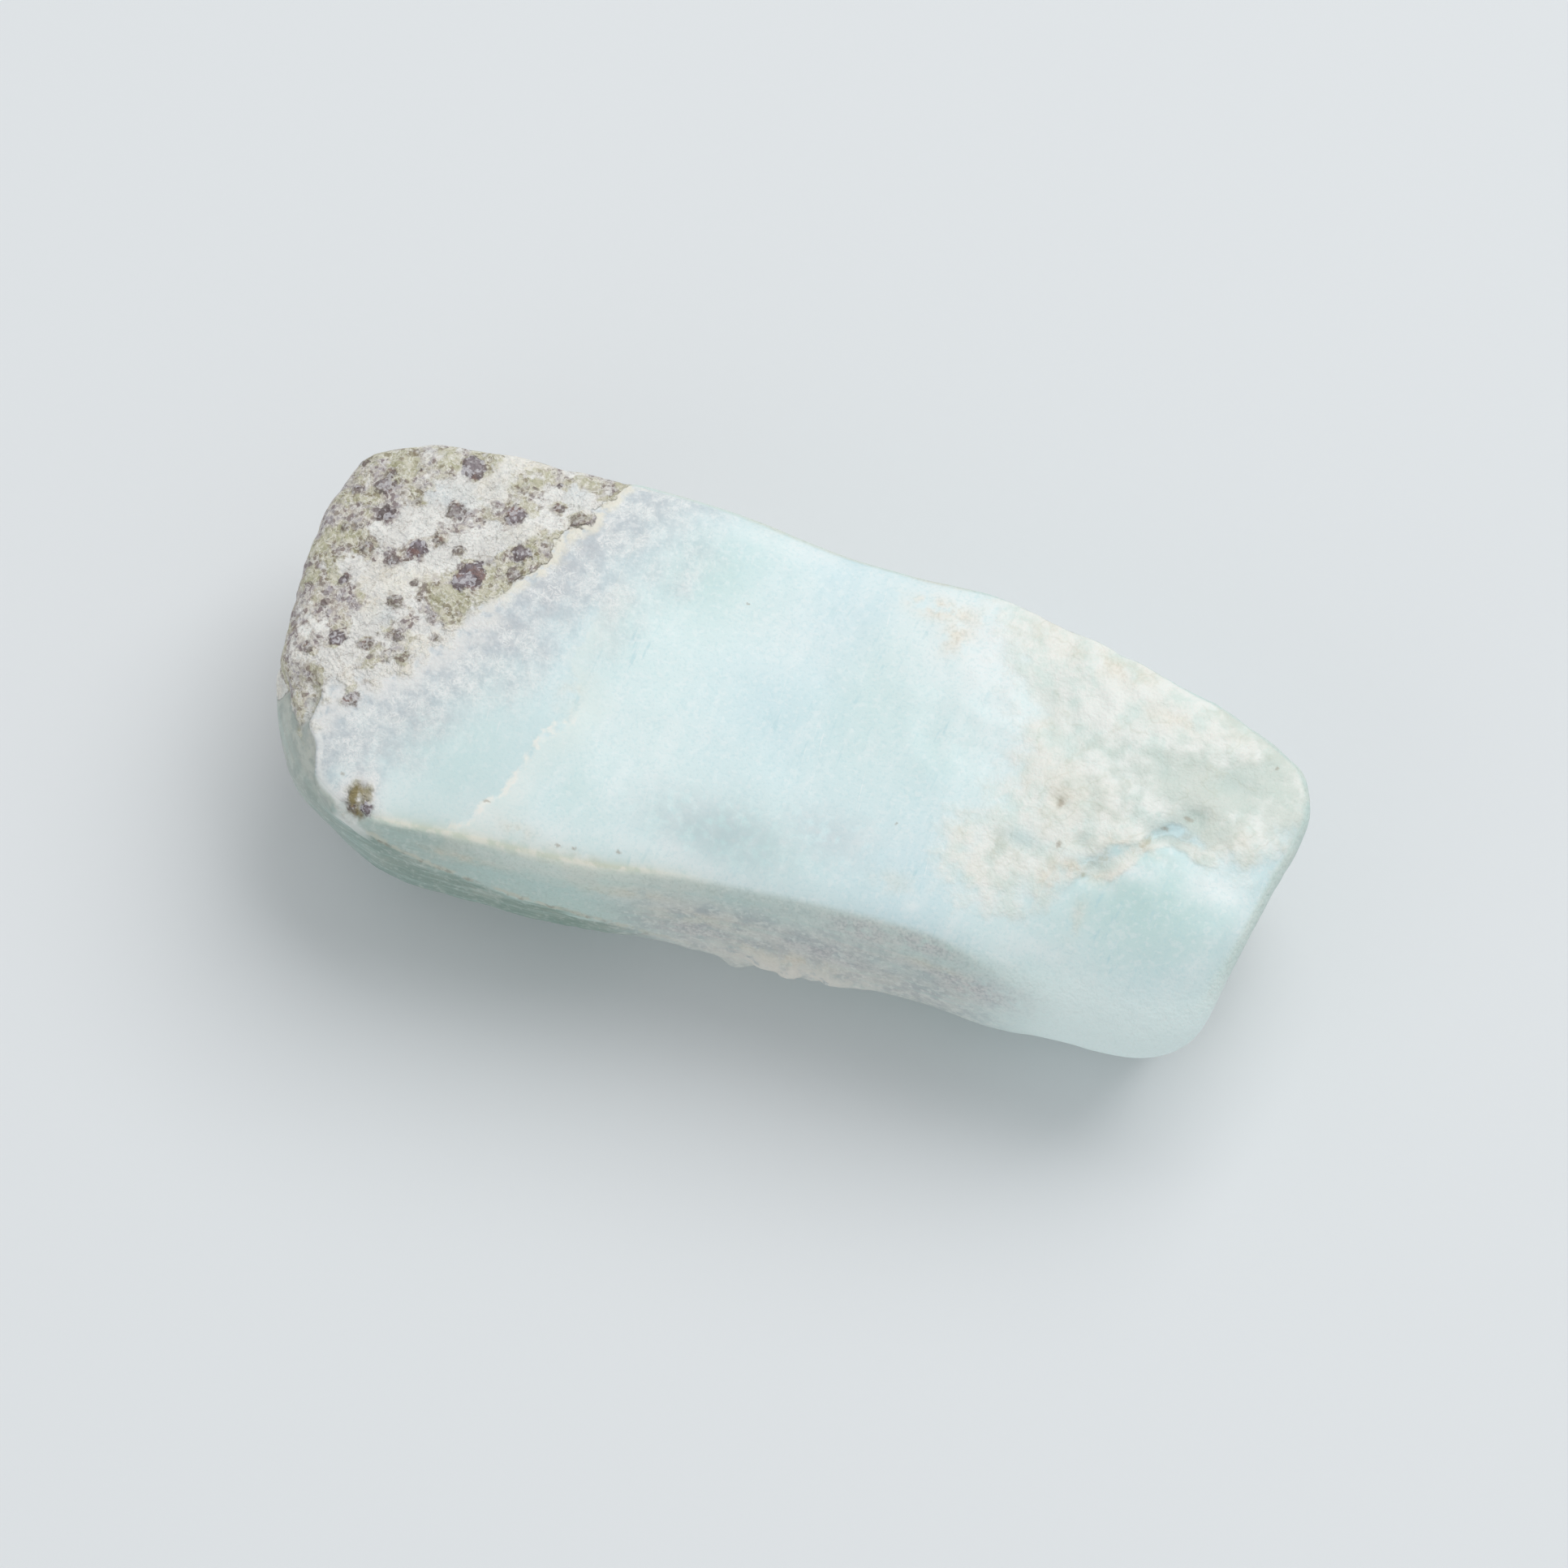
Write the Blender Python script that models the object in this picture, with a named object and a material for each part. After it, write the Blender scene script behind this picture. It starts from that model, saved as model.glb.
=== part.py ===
"""Rough larimar: one loose stone, a sawn and broken block with its edges worn round.

The block lies along X and rests on its sawn underside, the plane z = 0. Its +Z face is the
worn show face, its -Y wall the front. The left end (-X, towards +Y) keeps a crust of the host
rock that the vein grew in. All is one solid. Lengths are millimetres until the last step.
"""

import bmesh
import bpy
import numpy as np

MM = 0.001

# The block in plan: x of the left and right ends across the width (-1 front, 1 back), and y of
# the front and back walls along the length.
LEFT_END = [(-1, -17.6), (-0.75, -19.6), (-0.4, -21.5), (0.1, -22.3), (0.6, -22.3), (1, -21.6)]
RIGHT_END = [(-1, 20.6), (-0.5, 21.1), (0.2, 21.8), (0.7, 22.2), (1, 21.4)]
FRONT_WALL = [(-23, -11.3), (-17, -11.0), (-12, -10.3), (-6, -9.7), (-2, -8.9), (4, -8.3),
              (8, -8.2), (13, -8.9), (20, -9.3), (23, -9.3)]
BACK_WALL = [(-23, 5.6), (-18, 6.7), (-12, 7.3), (-6, 7.5), (-1.5, 7.25), (3, 7.3),
             (8, 7.5), (13, 6.5), (18, 5.5), (23, 4.4)]

# Height of the show face across the width, and what the length adds to it.
TOP_ACROSS = [(-12, 10.8), (-8, 11.6), (-3, 12.2), (2, 12.4), (6, 12.3), (9, 12.0)]
TOP_ALONG = [(-23, -0.7), (-16, -0.2), (-8, 0.0), (0, -0.25), (8, 0.1), (15, 0.2), (23, -0.6)]

# The saw takes off this much, and points nearer than NEAR_CUT to the cut are set on it.
SAW_CUT, NEAR_CUT = 0.3, 0.04

# Heights and depths between which the relief of the show face, the front wall and the foot fades.
SHOW_FACE_FADE, FRONT_WALL_FADE, FOOT_FADE = (9.0, 10.5), (7.5, 8.6), (0.2, 1.6)

# Broad unevenness of the whole stone: height and size.
UNEVEN_HEIGHT, UNEVEN_SIZE = 0.28, 9.0

# Roundness of the edges: a high power is a crisp edge, a low one a worn edge.
CRISP_EDGE, WORN_CORNER, WORN_FOOT = 14.0, 8.0, 9.0

# How far the walls belly out under the rim and draw in at the foot.
FRONT_BELLY = [(-23, -0.7), (-19, -0.6), (-14, 0.4), (-8, 0.7), (0, 0.65), (7, 0.85),
               (11, 0.55), (14, 0.05), (23, -0.5)]
FRONT_FOOT, BACK_BELLY, BACK_FOOT, LEFT_FOOT, RIGHT_FOOT = 3.2, 0.5, 1.8, 2.2, 2.8

# How far the show face droops to its front rim at the right, the share of the width where it
# starts, the stretch of the length where it sets in, and how much sooner the wall draws in there.
RIM_DROOP, DROOP_STARTS, DROOP_ALONG, EARLY_FOOT = 3.6, 0.1, (8.5, 17.0), 0.4

# The host rock lies beyond a wavy sheet through this point, towards this direction.
CRUST_POINT = (-14.6, -1.0, 12.0)
CRUST_TOWARDS = (-0.83, 0.54, -0.12)
CRUST_WAVE, CRUST_WAVE_SIZE = 1.1, 3.5

# Lumps and grains of the host rock, how far it lies back, and the share worn off on top.
CRUST_LUMPS, CRUST_GRAINS, CRUST_SINK, CRUST_WEAR = 0.45, 0.15, 0.15, 0.5

# The crust's largest crystals on the show face: x, y and radius.
CRYSTALS = [(-15.2, 0.8, 0.75), (-16.8, 5.7, 0.8), (-17.7, 1.2, 0.45), (-14.1, 4.0, 0.6),
            (-11.9, 4.4, 0.65), (-13.4, 1.9, 0.75), (-17.0, -2.7, 0.4), (-20.3, -1.5, 0.5),
            (-19.3, -3.4, 0.4), (-20.6, 2.0, 0.6), (-14.2, 0.0, 0.4), (-19.2, 5.0, 0.5),
            (-18.4, -6.1, 0.5), (-16.5, -9.6, 0.6), (-19.3, 3.1, 0.5), (-14.6, 2.6, 0.4)]
CRYSTAL_HEIGHT = 0.2

# The pale rough end of the show face: its middle, its reach and its lumps. Its dents are given
# by x, y, radius and depth.
ROUGH_MIDDLE, ROUGH_REACH, ROUGH_LUMPS = (14.5, 2.2, 12.0), (8.5, 5.2, 3.5), 0.32
DENTS = [(16.8, -0.3, 1.1, 0.5), (14.1, -3.1, 0.9, 0.4), (11.8, -1.0, 0.5, 0.35),
         (18.7, 2.4, 1.0, 0.25), (9.6, 3.4, 1.2, 0.2)]

# On the front wall: the ledge line from x to z, the stretch where the wall turns rough, the
# rough lip and the shard under it.
LEDGE_LINE = [(-17, 10.0), (-15, 9.1), (-13, 8.6), (-10, 8.15), (-6, 7.6), (-3.5, 6.7), (0, 5.8),
              (6, 5.4)]
LEDGE_STEP, LEDGE_STARTS, LEDGE_ENDS, ROUGH_STARTS = 0.24, (-19, -16), (2, 8), (-7, -3)
LIP_MIDDLE, LIP_REACH, LIP_HEIGHT = (2.8, -9.2, 6.0), (3.8, 1.6, 0.9), 0.4
SHARD_MIDDLE, SHARD_REACH, SHARD_HEIGHT = (0.1, -8.9, 4.5), (0.9, 1.6, 0.6), 0.7

# Shell-shaped breaks on the back and the right end: the middle and the radius of a ball that
# bites into the wall.
BREAKS = [((-9.0, 28.4, 4.5), 22.0), ((6.2, 15.4, 2.6), 9.2), ((15.5, 35.3, 5.5), 30.0),
          ((-19.5, 22.0, -7.0), 20.5), ((37.5, -10.0, -2.0), 18.8), ((34.0, 8.5, -3.0), 14.6)]

# Grid lines over the block, closer together over the crust.
CRUST_LINES, BODY_LINES, WIDTH_LINES, HEIGHT_LINES = 19, 31, 22, 14
CRUST_SHARE = -0.42


def smooth_curve(knots, at):
    """The height at each place of a smooth curve through the knots, flat-ended cubic pieces."""
    x, y = np.array(knots, float).T
    slope = np.gradient(y, x)
    at = np.clip(at, x[0], x[-1])
    i = np.clip(np.searchsorted(x, at) - 1, 0, len(x) - 2)
    width = x[i + 1] - x[i]
    s = (at - x[i]) / width
    return (y[i] * (1 + 2 * s) * (1 - s) ** 2 + slope[i] * width * s * (1 - s) ** 2
            + y[i + 1] * s * s * (3 - 2 * s) + slope[i + 1] * width * s * s * (s - 1))


def ease(value, start, end):
    """0 before start, 1 after end, and a smooth S between them."""
    s = np.clip((value - start) / (end - start), 0, 1)
    return s * s * (3 - 2 * s)


def lattice_noise(points, cell, seed):
    """Smooth noise from -1 to 1: one random value at each lattice corner, eased between them."""
    values = np.random.default_rng(seed).uniform(-1, 1, (32, 32, 32))
    at = points / cell + 100
    corner = np.floor(at).astype(int)
    share = at - corner
    share = share * share * (3 - 2 * share)
    total = 0
    for step in np.ndindex(2, 2, 2):
        weight = np.prod(np.where(step, share, 1 - share), axis=-1)
        i, j, k = np.moveaxis((corner + step) % 32, -1, 0)
        total = total + weight * values[i, j, k]
    return total


def layered_noise(points, cell, seed):
    """Three layers of noise, each half the size and strength of the one before."""
    layers = [lattice_noise(points, cell / 2 ** n, seed + n) / 2 ** n for n in range(3)]
    return sum(layers) / 1.75


def worn_block(cube):
    """Places on the stone for places on the surface of a cube from -1 to 1.

    Each place is first pulled onto a rounded cube, the surface where the sum of the three
    coordinates to a power is 1. Its x and y then run between the plan's outlines, its z from
    the underside to the show face. At the right the show face droops to the front rim by the
    square of the way there. The walls belly out and draw in at the foot, sooner at the right."""
    corner = ease(cube[:, 0], 0.0, 0.75) * ease(-cube[:, 1], 0.0, 1.0)
    foot = ease(-cube[:, 2], -0.2, 0.8)
    power = CRISP_EDGE + (WORN_CORNER - CRISP_EDGE) * corner
    power += (WORN_FOOT - CRISP_EDGE) * foot * (1 - corner)
    reach = (np.abs(cube) ** power[:, None]).sum(axis=1) ** (1 / power)
    along, across, up = (cube / reach[:, None]).T
    left, right = smooth_curve(LEFT_END, across), smooth_curve(RIGHT_END, across)
    x = left + (right - left) * (along + 1) / 2
    front, back = smooth_curve(FRONT_WALL, x), smooth_curve(BACK_WALL, x)
    y = front + (back - front) * (across + 1) / 2
    to_rim = np.clip((-across - DROOP_STARTS) / (1 - DROOP_STARTS), 0, 1)
    drooping = ease(x, *DROOP_ALONG)
    droop = RIM_DROOP * to_rim ** 2 * drooping
    z = (smooth_curve(TOP_ACROSS, y) + smooth_curve(TOP_ALONG, x) - droop) * (up + 1) / 2
    down = (1 - up) / 2
    belly = smooth_curve(FRONT_BELLY, x) * np.sin(np.pi * np.clip(down * 1.15, 0, 1))
    y += (FRONT_FOOT * ease(down, 0.5 - EARLY_FOOT * drooping, 1.15) - belly) * ease(-across, 0.2, 1.0)
    belly = BACK_BELLY * np.sin(np.pi * down)
    y += (belly - BACK_FOOT * ease(down, 0.5, 1.0)) * ease(across, 0.2, 1.0)
    x += LEFT_FOOT * ease(down, 0.3, 1.05) * ease(-along, 0.5, 1.0)
    x -= RIGHT_FOOT * down * ease(along, 0.5, 1.0)
    return np.stack([x, y, z], axis=1)


def mound(points, middle, reach):
    """A round hump of height 1 at the middle, gone at about twice its reach."""
    return np.exp(-(((points - middle) / reach) ** 2).sum(axis=1))


def crust_cover(points):
    """1 on the host rock, 0 on clean larimar, with a soft wavy edge."""
    depth = (points - CRUST_POINT) @ (np.array(CRUST_TOWARDS) / np.linalg.norm(CRUST_TOWARDS))
    return ease(depth + CRUST_WAVE * layered_noise(points, CRUST_WAVE_SIZE, 20), -0.5, 0.7)


def on_show_face(points):
    """1 on the show face, 0 below its worn rim."""
    return ease(points[:, 2], *SHOW_FACE_FADE)


def crust_relief(points):
    """Grainy lumps and pits of the host rock, and its largest crystals with flat tops."""
    lumps = CRUST_LUMPS * layered_noise(points, 2.6, 30)
    lumps += CRUST_GRAINS * lattice_noise(points, 1.2, 34) - CRUST_SINK
    lumps *= crust_cover(points) * (1 - CRUST_WEAR * on_show_face(points))
    for x, y, radius in CRYSTALS:
        away = np.hypot(points[:, 0] - x, points[:, 1] - y)
        flat_top = 1 - ease(away, 0.55 * radius, 1.25 * radius)
        lumps += CRYSTAL_HEIGHT * flat_top * on_show_face(points)
    return lumps


def rough_end_relief(points):
    """Lumpy pale end of the show face, with dents where grains fell out."""
    lumps = ROUGH_LUMPS * layered_noise(points, 2.8, 40) * mound(points, ROUGH_MIDDLE, ROUGH_REACH)
    for x, y, radius, depth in DENTS:
        lumps -= depth * mound(points[:, :2], (x, y), radius) * on_show_face(points)
    return lumps


def front_relief(points):
    """Ledge that runs down the front wall with a rough band below it, the lip and the shard."""
    wall = ease(-points[:, 1], *FRONT_WALL_FADE)
    below = smooth_curve(LEDGE_LINE, points[:, 0]) - points[:, 2]
    ledge = 0.6 * mound(below[:, None], 0.5, 1.2) - ease(below, 0.6, 1.4)
    ledge *= ease(points[:, 0], *LEDGE_STARTS) * (1 - ease(points[:, 0], *LEDGE_ENDS))
    rough = ROUGH_LUMPS * layered_noise(points, 1.8, 50) * ease(below, -0.5, 1.5)
    rough *= 0.4 + 0.6 * ease(points[:, 0], *ROUGH_STARTS)
    lip = LIP_HEIGHT * mound(points, LIP_MIDDLE, LIP_REACH)
    shard = SHARD_HEIGHT * mound(points, SHARD_MIDDLE, SHARD_REACH)
    return wall * (LEDGE_STEP * ledge + rough) + lip * (1 + 2 * rough) + shard


def broken(points):
    """The points, with those inside a ball of BREAKS pushed back onto the ball's surface."""
    for middle, radius in BREAKS:
        out = points - middle
        away = np.linalg.norm(out, axis=1, keepdims=True)
        points = points + out / away * np.maximum(radius - away, 0)
    return points


def sawn_box(mesh):
    """A cube from -1 to 1 scored by the grid lines of the block."""
    bmesh.ops.create_cube(mesh, size=2)
    crust = np.linspace(-1, CRUST_SHARE, CRUST_LINES)
    body = np.linspace(CRUST_SHARE, 1, BODY_LINES + 1)
    lines = [np.concatenate([crust[1:], body[1:-1]]),
             np.linspace(-1, 1, WIDTH_LINES + 1)[1:-1],
             np.linspace(-1, 1, HEIGHT_LINES + 1)[1:-1]]
    for axis in range(3):
        direction = np.eye(3)[axis]
        for place in lines[axis]:
            everything = mesh.verts[:] + mesh.edges[:] + mesh.faces[:]
            bmesh.ops.bisect_plane(mesh, geom=everything, plane_co=direction * place,
                                   plane_no=direction, dist=1e-5)


def places(mesh):
    return np.array([vertex.co for vertex in mesh.verts])


def move_to(mesh, points):
    for vertex, point in zip(mesh.verts, points):
        vertex.co = point
    mesh.normal_update()


def saw_underside(mesh):
    """Cuts the stone off flat at SAW_CUT, closes it with one face, and sets that face at z = 0."""
    for vertex in mesh.verts:
        if abs(vertex.co.z - SAW_CUT) < NEAR_CUT:
            vertex.co.z = SAW_CUT
    everything = mesh.verts[:] + mesh.edges[:] + mesh.faces[:]
    bmesh.ops.bisect_plane(mesh, geom=everything, plane_co=(0, 0, SAW_CUT), plane_no=(0, 0, -1),
                           dist=1e-4, clear_outer=True)
    rim = [edge for edge in mesh.edges if edge.is_boundary]
    bmesh.ops.contextual_create(mesh, geom=rim)
    bmesh.ops.translate(mesh, verts=mesh.verts, vec=(0, 0, -SAW_CUT))


def centre_on_underside(mesh):
    """Moves the stone so that the middle of its bounding box stands over the origin."""
    points = places(mesh)
    middle = (points.min(axis=0) + points.max(axis=0)) / 2
    bmesh.ops.translate(mesh, verts=mesh.verts, vec=(-middle[0], -middle[1], 0))


def larimar_material():
    """Pale aqua larimar: hard, satin, not metallic."""
    material = bpy.data.materials.new("larimar")
    material.use_nodes = True
    shader = material.node_tree.nodes["Principled BSDF"]
    shader.inputs["Base Color"].default_value = (0.66, 0.80, 0.81, 1)
    shader.inputs["Roughness"].default_value = 0.45
    shader.inputs["Metallic"].default_value = 0.0
    return material


def larimar_stone():
    """The whole stone as one object."""
    mesh = bmesh.new()
    sawn_box(mesh)
    move_to(mesh, broken(worn_block(places(mesh))))
    points = places(mesh)
    outward = np.array([vertex.normal for vertex in mesh.verts])
    height = UNEVEN_HEIGHT * layered_noise(points, UNEVEN_SIZE, 10)
    height += crust_relief(points) + rough_end_relief(points) + front_relief(points)
    height *= ease(points[:, 2], *FOOT_FADE)
    move_to(mesh, points + outward * height[:, None])
    saw_underside(mesh)
    centre_on_underside(mesh)
    bmesh.ops.scale(mesh, verts=mesh.verts, vec=(MM, MM, MM))
    bmesh.ops.recalc_face_normals(mesh, faces=mesh.faces)
    data = bpy.data.meshes.new("larimar_stone")
    mesh.to_mesh(data)
    mesh.free()
    data.materials.append(larimar_material())
    data.shade_smooth()
    stone = bpy.data.objects.new("larimar_stone", data)
    bpy.context.scene.collection.objects.link(stone)
    return stone


for old in list(bpy.data.objects):
    bpy.data.objects.remove(old)
larimar_stone()
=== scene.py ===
"""A rough larimar stone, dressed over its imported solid.

It is a worn block of pale blue-green larimar with a rough cream end and, at the other end, a
crust of the granular host rock that the vein grew in. Lengths are millimetres, in the plan that
the solid was drawn in, until the finished mesh is set over the solid's own box in metres."""

import bpy
import numpy as np
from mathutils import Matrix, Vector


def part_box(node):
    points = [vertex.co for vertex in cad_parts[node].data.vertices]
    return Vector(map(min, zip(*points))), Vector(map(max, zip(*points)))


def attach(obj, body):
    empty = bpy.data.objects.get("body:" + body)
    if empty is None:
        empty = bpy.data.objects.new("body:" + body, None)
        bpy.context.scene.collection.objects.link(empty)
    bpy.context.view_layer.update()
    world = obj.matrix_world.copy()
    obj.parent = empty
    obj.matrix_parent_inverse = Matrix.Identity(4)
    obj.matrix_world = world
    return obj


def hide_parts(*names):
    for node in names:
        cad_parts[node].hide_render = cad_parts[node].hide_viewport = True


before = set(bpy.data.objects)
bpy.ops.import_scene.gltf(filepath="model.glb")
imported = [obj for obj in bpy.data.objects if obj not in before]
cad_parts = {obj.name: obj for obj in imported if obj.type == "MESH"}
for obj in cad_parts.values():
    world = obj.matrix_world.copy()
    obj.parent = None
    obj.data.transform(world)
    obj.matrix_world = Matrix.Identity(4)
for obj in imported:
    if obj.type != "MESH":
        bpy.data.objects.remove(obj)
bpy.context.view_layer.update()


# The worn block
# The real stone is a piece of a pale blue-green vein, broken from its neighbours and sawn flat
# underneath. Its edges are worn round and its show face is smooth and slightly uneven.

# The ends are given as share across and x, the walls as x and y, the show face's height as y or
# x and height, and the front wall's belly as x and bulge.
LEFT_END = [(-1, -17.6), (-0.75, -19.6), (-0.4, -21.5), (0.1, -22.3), (0.6, -22.3), (1, -21.6)]
RIGHT_END = [(-1, 20.6), (-0.5, 21.1), (0.2, 21.8), (0.7, 22.2), (1, 21.4)]
FRONT_WALL = [(-23, -11.3), (-17, -11.0), (-12, -10.3), (-6, -9.7), (-2, -8.9), (4, -8.3),
              (8, -8.2), (13, -8.9), (20, -9.3), (23, -9.3)]
BACK_WALL = [(-23, 5.6), (-18, 6.7), (-12, 7.3), (-6, 7.5), (-1.5, 7.25), (3, 7.3),
             (8, 7.5), (13, 6.5), (18, 5.5), (23, 4.4)]
TOP_ACROSS = [(-12, 10.8), (-8, 11.6), (-3, 12.2), (2, 12.4), (6, 12.3), (9, 12.0)]
TOP_ALONG = [(-23, -0.7), (-16, -0.2), (-8, 0.0), (0, -0.25), (8, 0.1), (15, 0.2), (23, -0.6)]
CRISP_EDGE, WORN_CORNER, WORN_FOOT = 14.0, 8.0, 9.0
FRONT_BELLY = [(-23, -0.7), (-19, -0.6), (-14, 0.4), (-8, 0.7), (0, 0.65), (7, 0.85),
               (11, 0.55), (14, 0.05), (23, -0.5)]
FRONT_FOOT, BACK_BELLY, BACK_FOOT, LEFT_FOOT, RIGHT_FOOT = 3.2, 0.5, 1.8, 2.2, 2.8
RIM_DROOP, DROOP_STARTS, DROOP_ALONG, EARLY_FOOT = 3.6, 0.1, (8.5, 17.0), 0.4

# Grid lines over the block, closer together over the crust and towards the show face.
CRUST_LINES, BODY_LINES, WIDTH_LINES, HEIGHT_LINES = 95, 175, 105, 52
CRUST_SHARE, HEIGHT_CROWDING = -0.42, 1.25


def ease(value, start, end):
    """0 before start, 1 after end, and the S curve s*s*(3 - 2s) of the share s between them."""
    s = np.clip((value - start) / (end - start), 0, 1)
    return s * s * (3 - 2 * s)


def smooth_curve(knots, at):
    """A smooth curve through the knots: one cubic between each two, with slopes that meet."""
    x, y = np.array(knots, float).T
    slope = np.gradient(y, x)
    at = np.clip(at, x[0], x[-1])
    i = np.clip(np.searchsorted(x, at) - 1, 0, len(x) - 2)
    width = x[i + 1] - x[i]
    s = (at - x[i]) / width
    return (y[i] * (1 + 2 * s) * (1 - s) ** 2 + slope[i] * width * s * (1 - s) ** 2
            + y[i + 1] * s * s * (3 - 2 * s) + slope[i + 1] * width * s * s * (s - 1))


def cube_shell(lines):
    """Corners and quads of a cube from -1 to 1: a grid of the given lines on each of its six
    faces, with the corners that two faces share merged by their places in the grid."""
    counts = [len(places) for places in lines]
    quads = []
    for axis in range(3):
        first, second = [other for other in range(3) if other != axis]
        a, b = np.meshgrid(np.arange(counts[first]), np.arange(counts[second]), indexing="ij")
        for side in (0, counts[axis] - 1):
            grid = np.empty(a.shape + (3,), int)
            grid[..., first], grid[..., second], grid[..., axis] = a, b, side
            round_it = [grid[:-1, :-1], grid[1:, :-1], grid[1:, 1:], grid[:-1, 1:]]
            if (side == 0) != (axis == 1):
                round_it.reverse()
            quads.append(np.stack(round_it, axis=2).reshape(-1, 3))
    used, index = np.unique(np.ravel_multi_index(np.concatenate(quads).T, counts),
                            return_inverse=True)
    corners = [places[at] for places, at in zip(lines, np.unravel_index(used, counts))]
    return np.stack(corners, axis=1), index.reshape(-1, 4)


def worn_block(cube):
    """Places on the stone for places on the surface of a cube from -1 to 1.

    Each place is first pulled onto a rounded cube, the surface where the sum of the three
    coordinates to a power is 1. Its x and y then run between the plan's outlines, its z from
    the underside to the show face. At the right the show face droops to the front rim by the
    square of the way there. The walls belly out and draw in at the foot, sooner at the right."""
    corner = ease(cube[:, 0], 0.0, 0.75) * ease(-cube[:, 1], 0.0, 1.0)
    foot = ease(-cube[:, 2], -0.2, 0.8)
    power = CRISP_EDGE + (WORN_CORNER - CRISP_EDGE) * corner
    power += (WORN_FOOT - CRISP_EDGE) * foot * (1 - corner)
    reach = (np.abs(cube) ** power[:, None]).sum(axis=1) ** (1 / power)
    along, across, up = (cube / reach[:, None]).T
    left, right = smooth_curve(LEFT_END, across), smooth_curve(RIGHT_END, across)
    x = left + (right - left) * (along + 1) / 2
    front, back = smooth_curve(FRONT_WALL, x), smooth_curve(BACK_WALL, x)
    y = front + (back - front) * (across + 1) / 2
    to_rim = np.clip((-across - DROOP_STARTS) / (1 - DROOP_STARTS), 0, 1)
    drooping = ease(x, *DROOP_ALONG)
    droop = RIM_DROOP * to_rim ** 2 * drooping
    z = (smooth_curve(TOP_ACROSS, y) + smooth_curve(TOP_ALONG, x) - droop) * (up + 1) / 2
    down = (1 - up) / 2
    belly = smooth_curve(FRONT_BELLY, x) * np.sin(np.pi * np.clip(down * 1.15, 0, 1))
    drawn_in = FRONT_FOOT * ease(down, 0.5 - EARLY_FOOT * drooping, 1.15)
    y += (drawn_in - belly) * ease(-across, 0.2, 1.0)
    belly = BACK_BELLY * np.sin(np.pi * down)
    y += (belly - BACK_FOOT * ease(down, 0.5, 1.0)) * ease(across, 0.2, 1.0)
    x += LEFT_FOOT * ease(down, 0.3, 1.05) * ease(-along, 0.5, 1.0)
    x -= RIGHT_FOOT * down * ease(along, 0.5, 1.0)
    return np.stack([x, y, z], axis=1)


crust_lines = np.linspace(-1, CRUST_SHARE, CRUST_LINES, endpoint=False)
body_lines = np.linspace(CRUST_SHARE, 1, BODY_LINES + 1)
height_lines = 1 - 2 * np.linspace(1, 0, HEIGHT_LINES + 1) ** HEIGHT_CROWDING
cube, quads = cube_shell([np.concatenate([crust_lines, body_lines]),
                          np.linspace(-1, 1, WIDTH_LINES + 1), height_lines])
block = worn_block(cube)


# The broken back and right end
# Larimar breaks in shallow shells, like flint but duller. Each shell is the bite of a ball with
# faint ripples round the point that was struck.

BREAKS = [((-9.0, 28.4, 4.5), 22.0), ((6.2, 15.4, 2.6), 9.2), ((15.5, 35.3, 5.5), 30.0),
          ((-19.5, 22.0, -7.0), 20.5), ((37.5, -10.0, -2.0), 18.8), ((34.0, 8.5, -3.0), 14.6)]
RIPPLE_HEIGHT, RIPPLE_LENGTH, STRIKE_HEIGHT, BREAK_WAVE = 0.05, 1.1, 9.5, 0.4
SHOW_FACE_FADE, FRONT_WALL_FADE = (9.0, 10.5), (7.5, 8.6)


def lattice_noise(points, cell, seed):
    """Smooth noise from -1 to 1: one random value at each lattice corner, eased between them."""
    values = np.random.default_rng(seed).uniform(-1, 1, (32, 32, 32))
    at = points / cell + 100
    corner = np.floor(at).astype(int)
    share = at - corner
    share = share * share * (3 - 2 * share)
    total = 0
    for step in np.ndindex(2, 2, 2):
        weight = np.prod(np.where(step, share, 1 - share), axis=-1)
        i, j, k = np.moveaxis((corner + step) % 32, -1, 0)
        total = total + weight * values[i, j, k]
    return total


def layered_noise(points, cell, seed):
    """Three layers of noise, each half the size and strength of the one before."""
    layers = [lattice_noise(points, cell / 2 ** n, seed + n) / 2 ** n for n in range(3)]
    return sum(layers) / 1.75


def broken(points):
    """The points, with those inside a ball of BREAKS pushed back onto the ball's surface, which
    waves a little, and rippled there by a sine of the distance from the struck point at the
    break's upper edge."""
    bitten = np.zeros(len(points))
    for middle, radius in BREAKS:
        out = points - middle
        away = np.linalg.norm(out, axis=1, keepdims=True)
        wave = BREAK_WAVE * layered_noise(points, 4.0, 71)[:, None]
        push = np.maximum(radius + wave - away, 0)
        struck = np.array([middle[0] - 3.0, middle[1] - radius, STRIKE_HEIGHT])
        rings = np.linalg.norm(points - struck, axis=1, keepdims=True)
        rings = rings + 0.3 * lattice_noise(points, 2.5, 70)[:, None]
        ripple = RIPPLE_HEIGHT * np.sin(2 * np.pi * rings / RIPPLE_LENGTH) * ease(push, 0, 0.4)
        points = points + out / away * (push + ripple)
        bitten = np.maximum(bitten, ease(push[:, 0], 0.0, 0.8))
    return points, bitten


def outward(points, quads):
    """Unit normals: the cross product of each quad's diagonals, added up at its corners."""
    a, b, c, d = (points[quads[:, n]] for n in range(4))
    across = np.cross(c - a, d - b)
    total = np.zeros_like(points)
    for n in range(4):
        np.add.at(total, quads[:, n], across)
    return total / np.linalg.norm(total, axis=1, keepdims=True)


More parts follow.
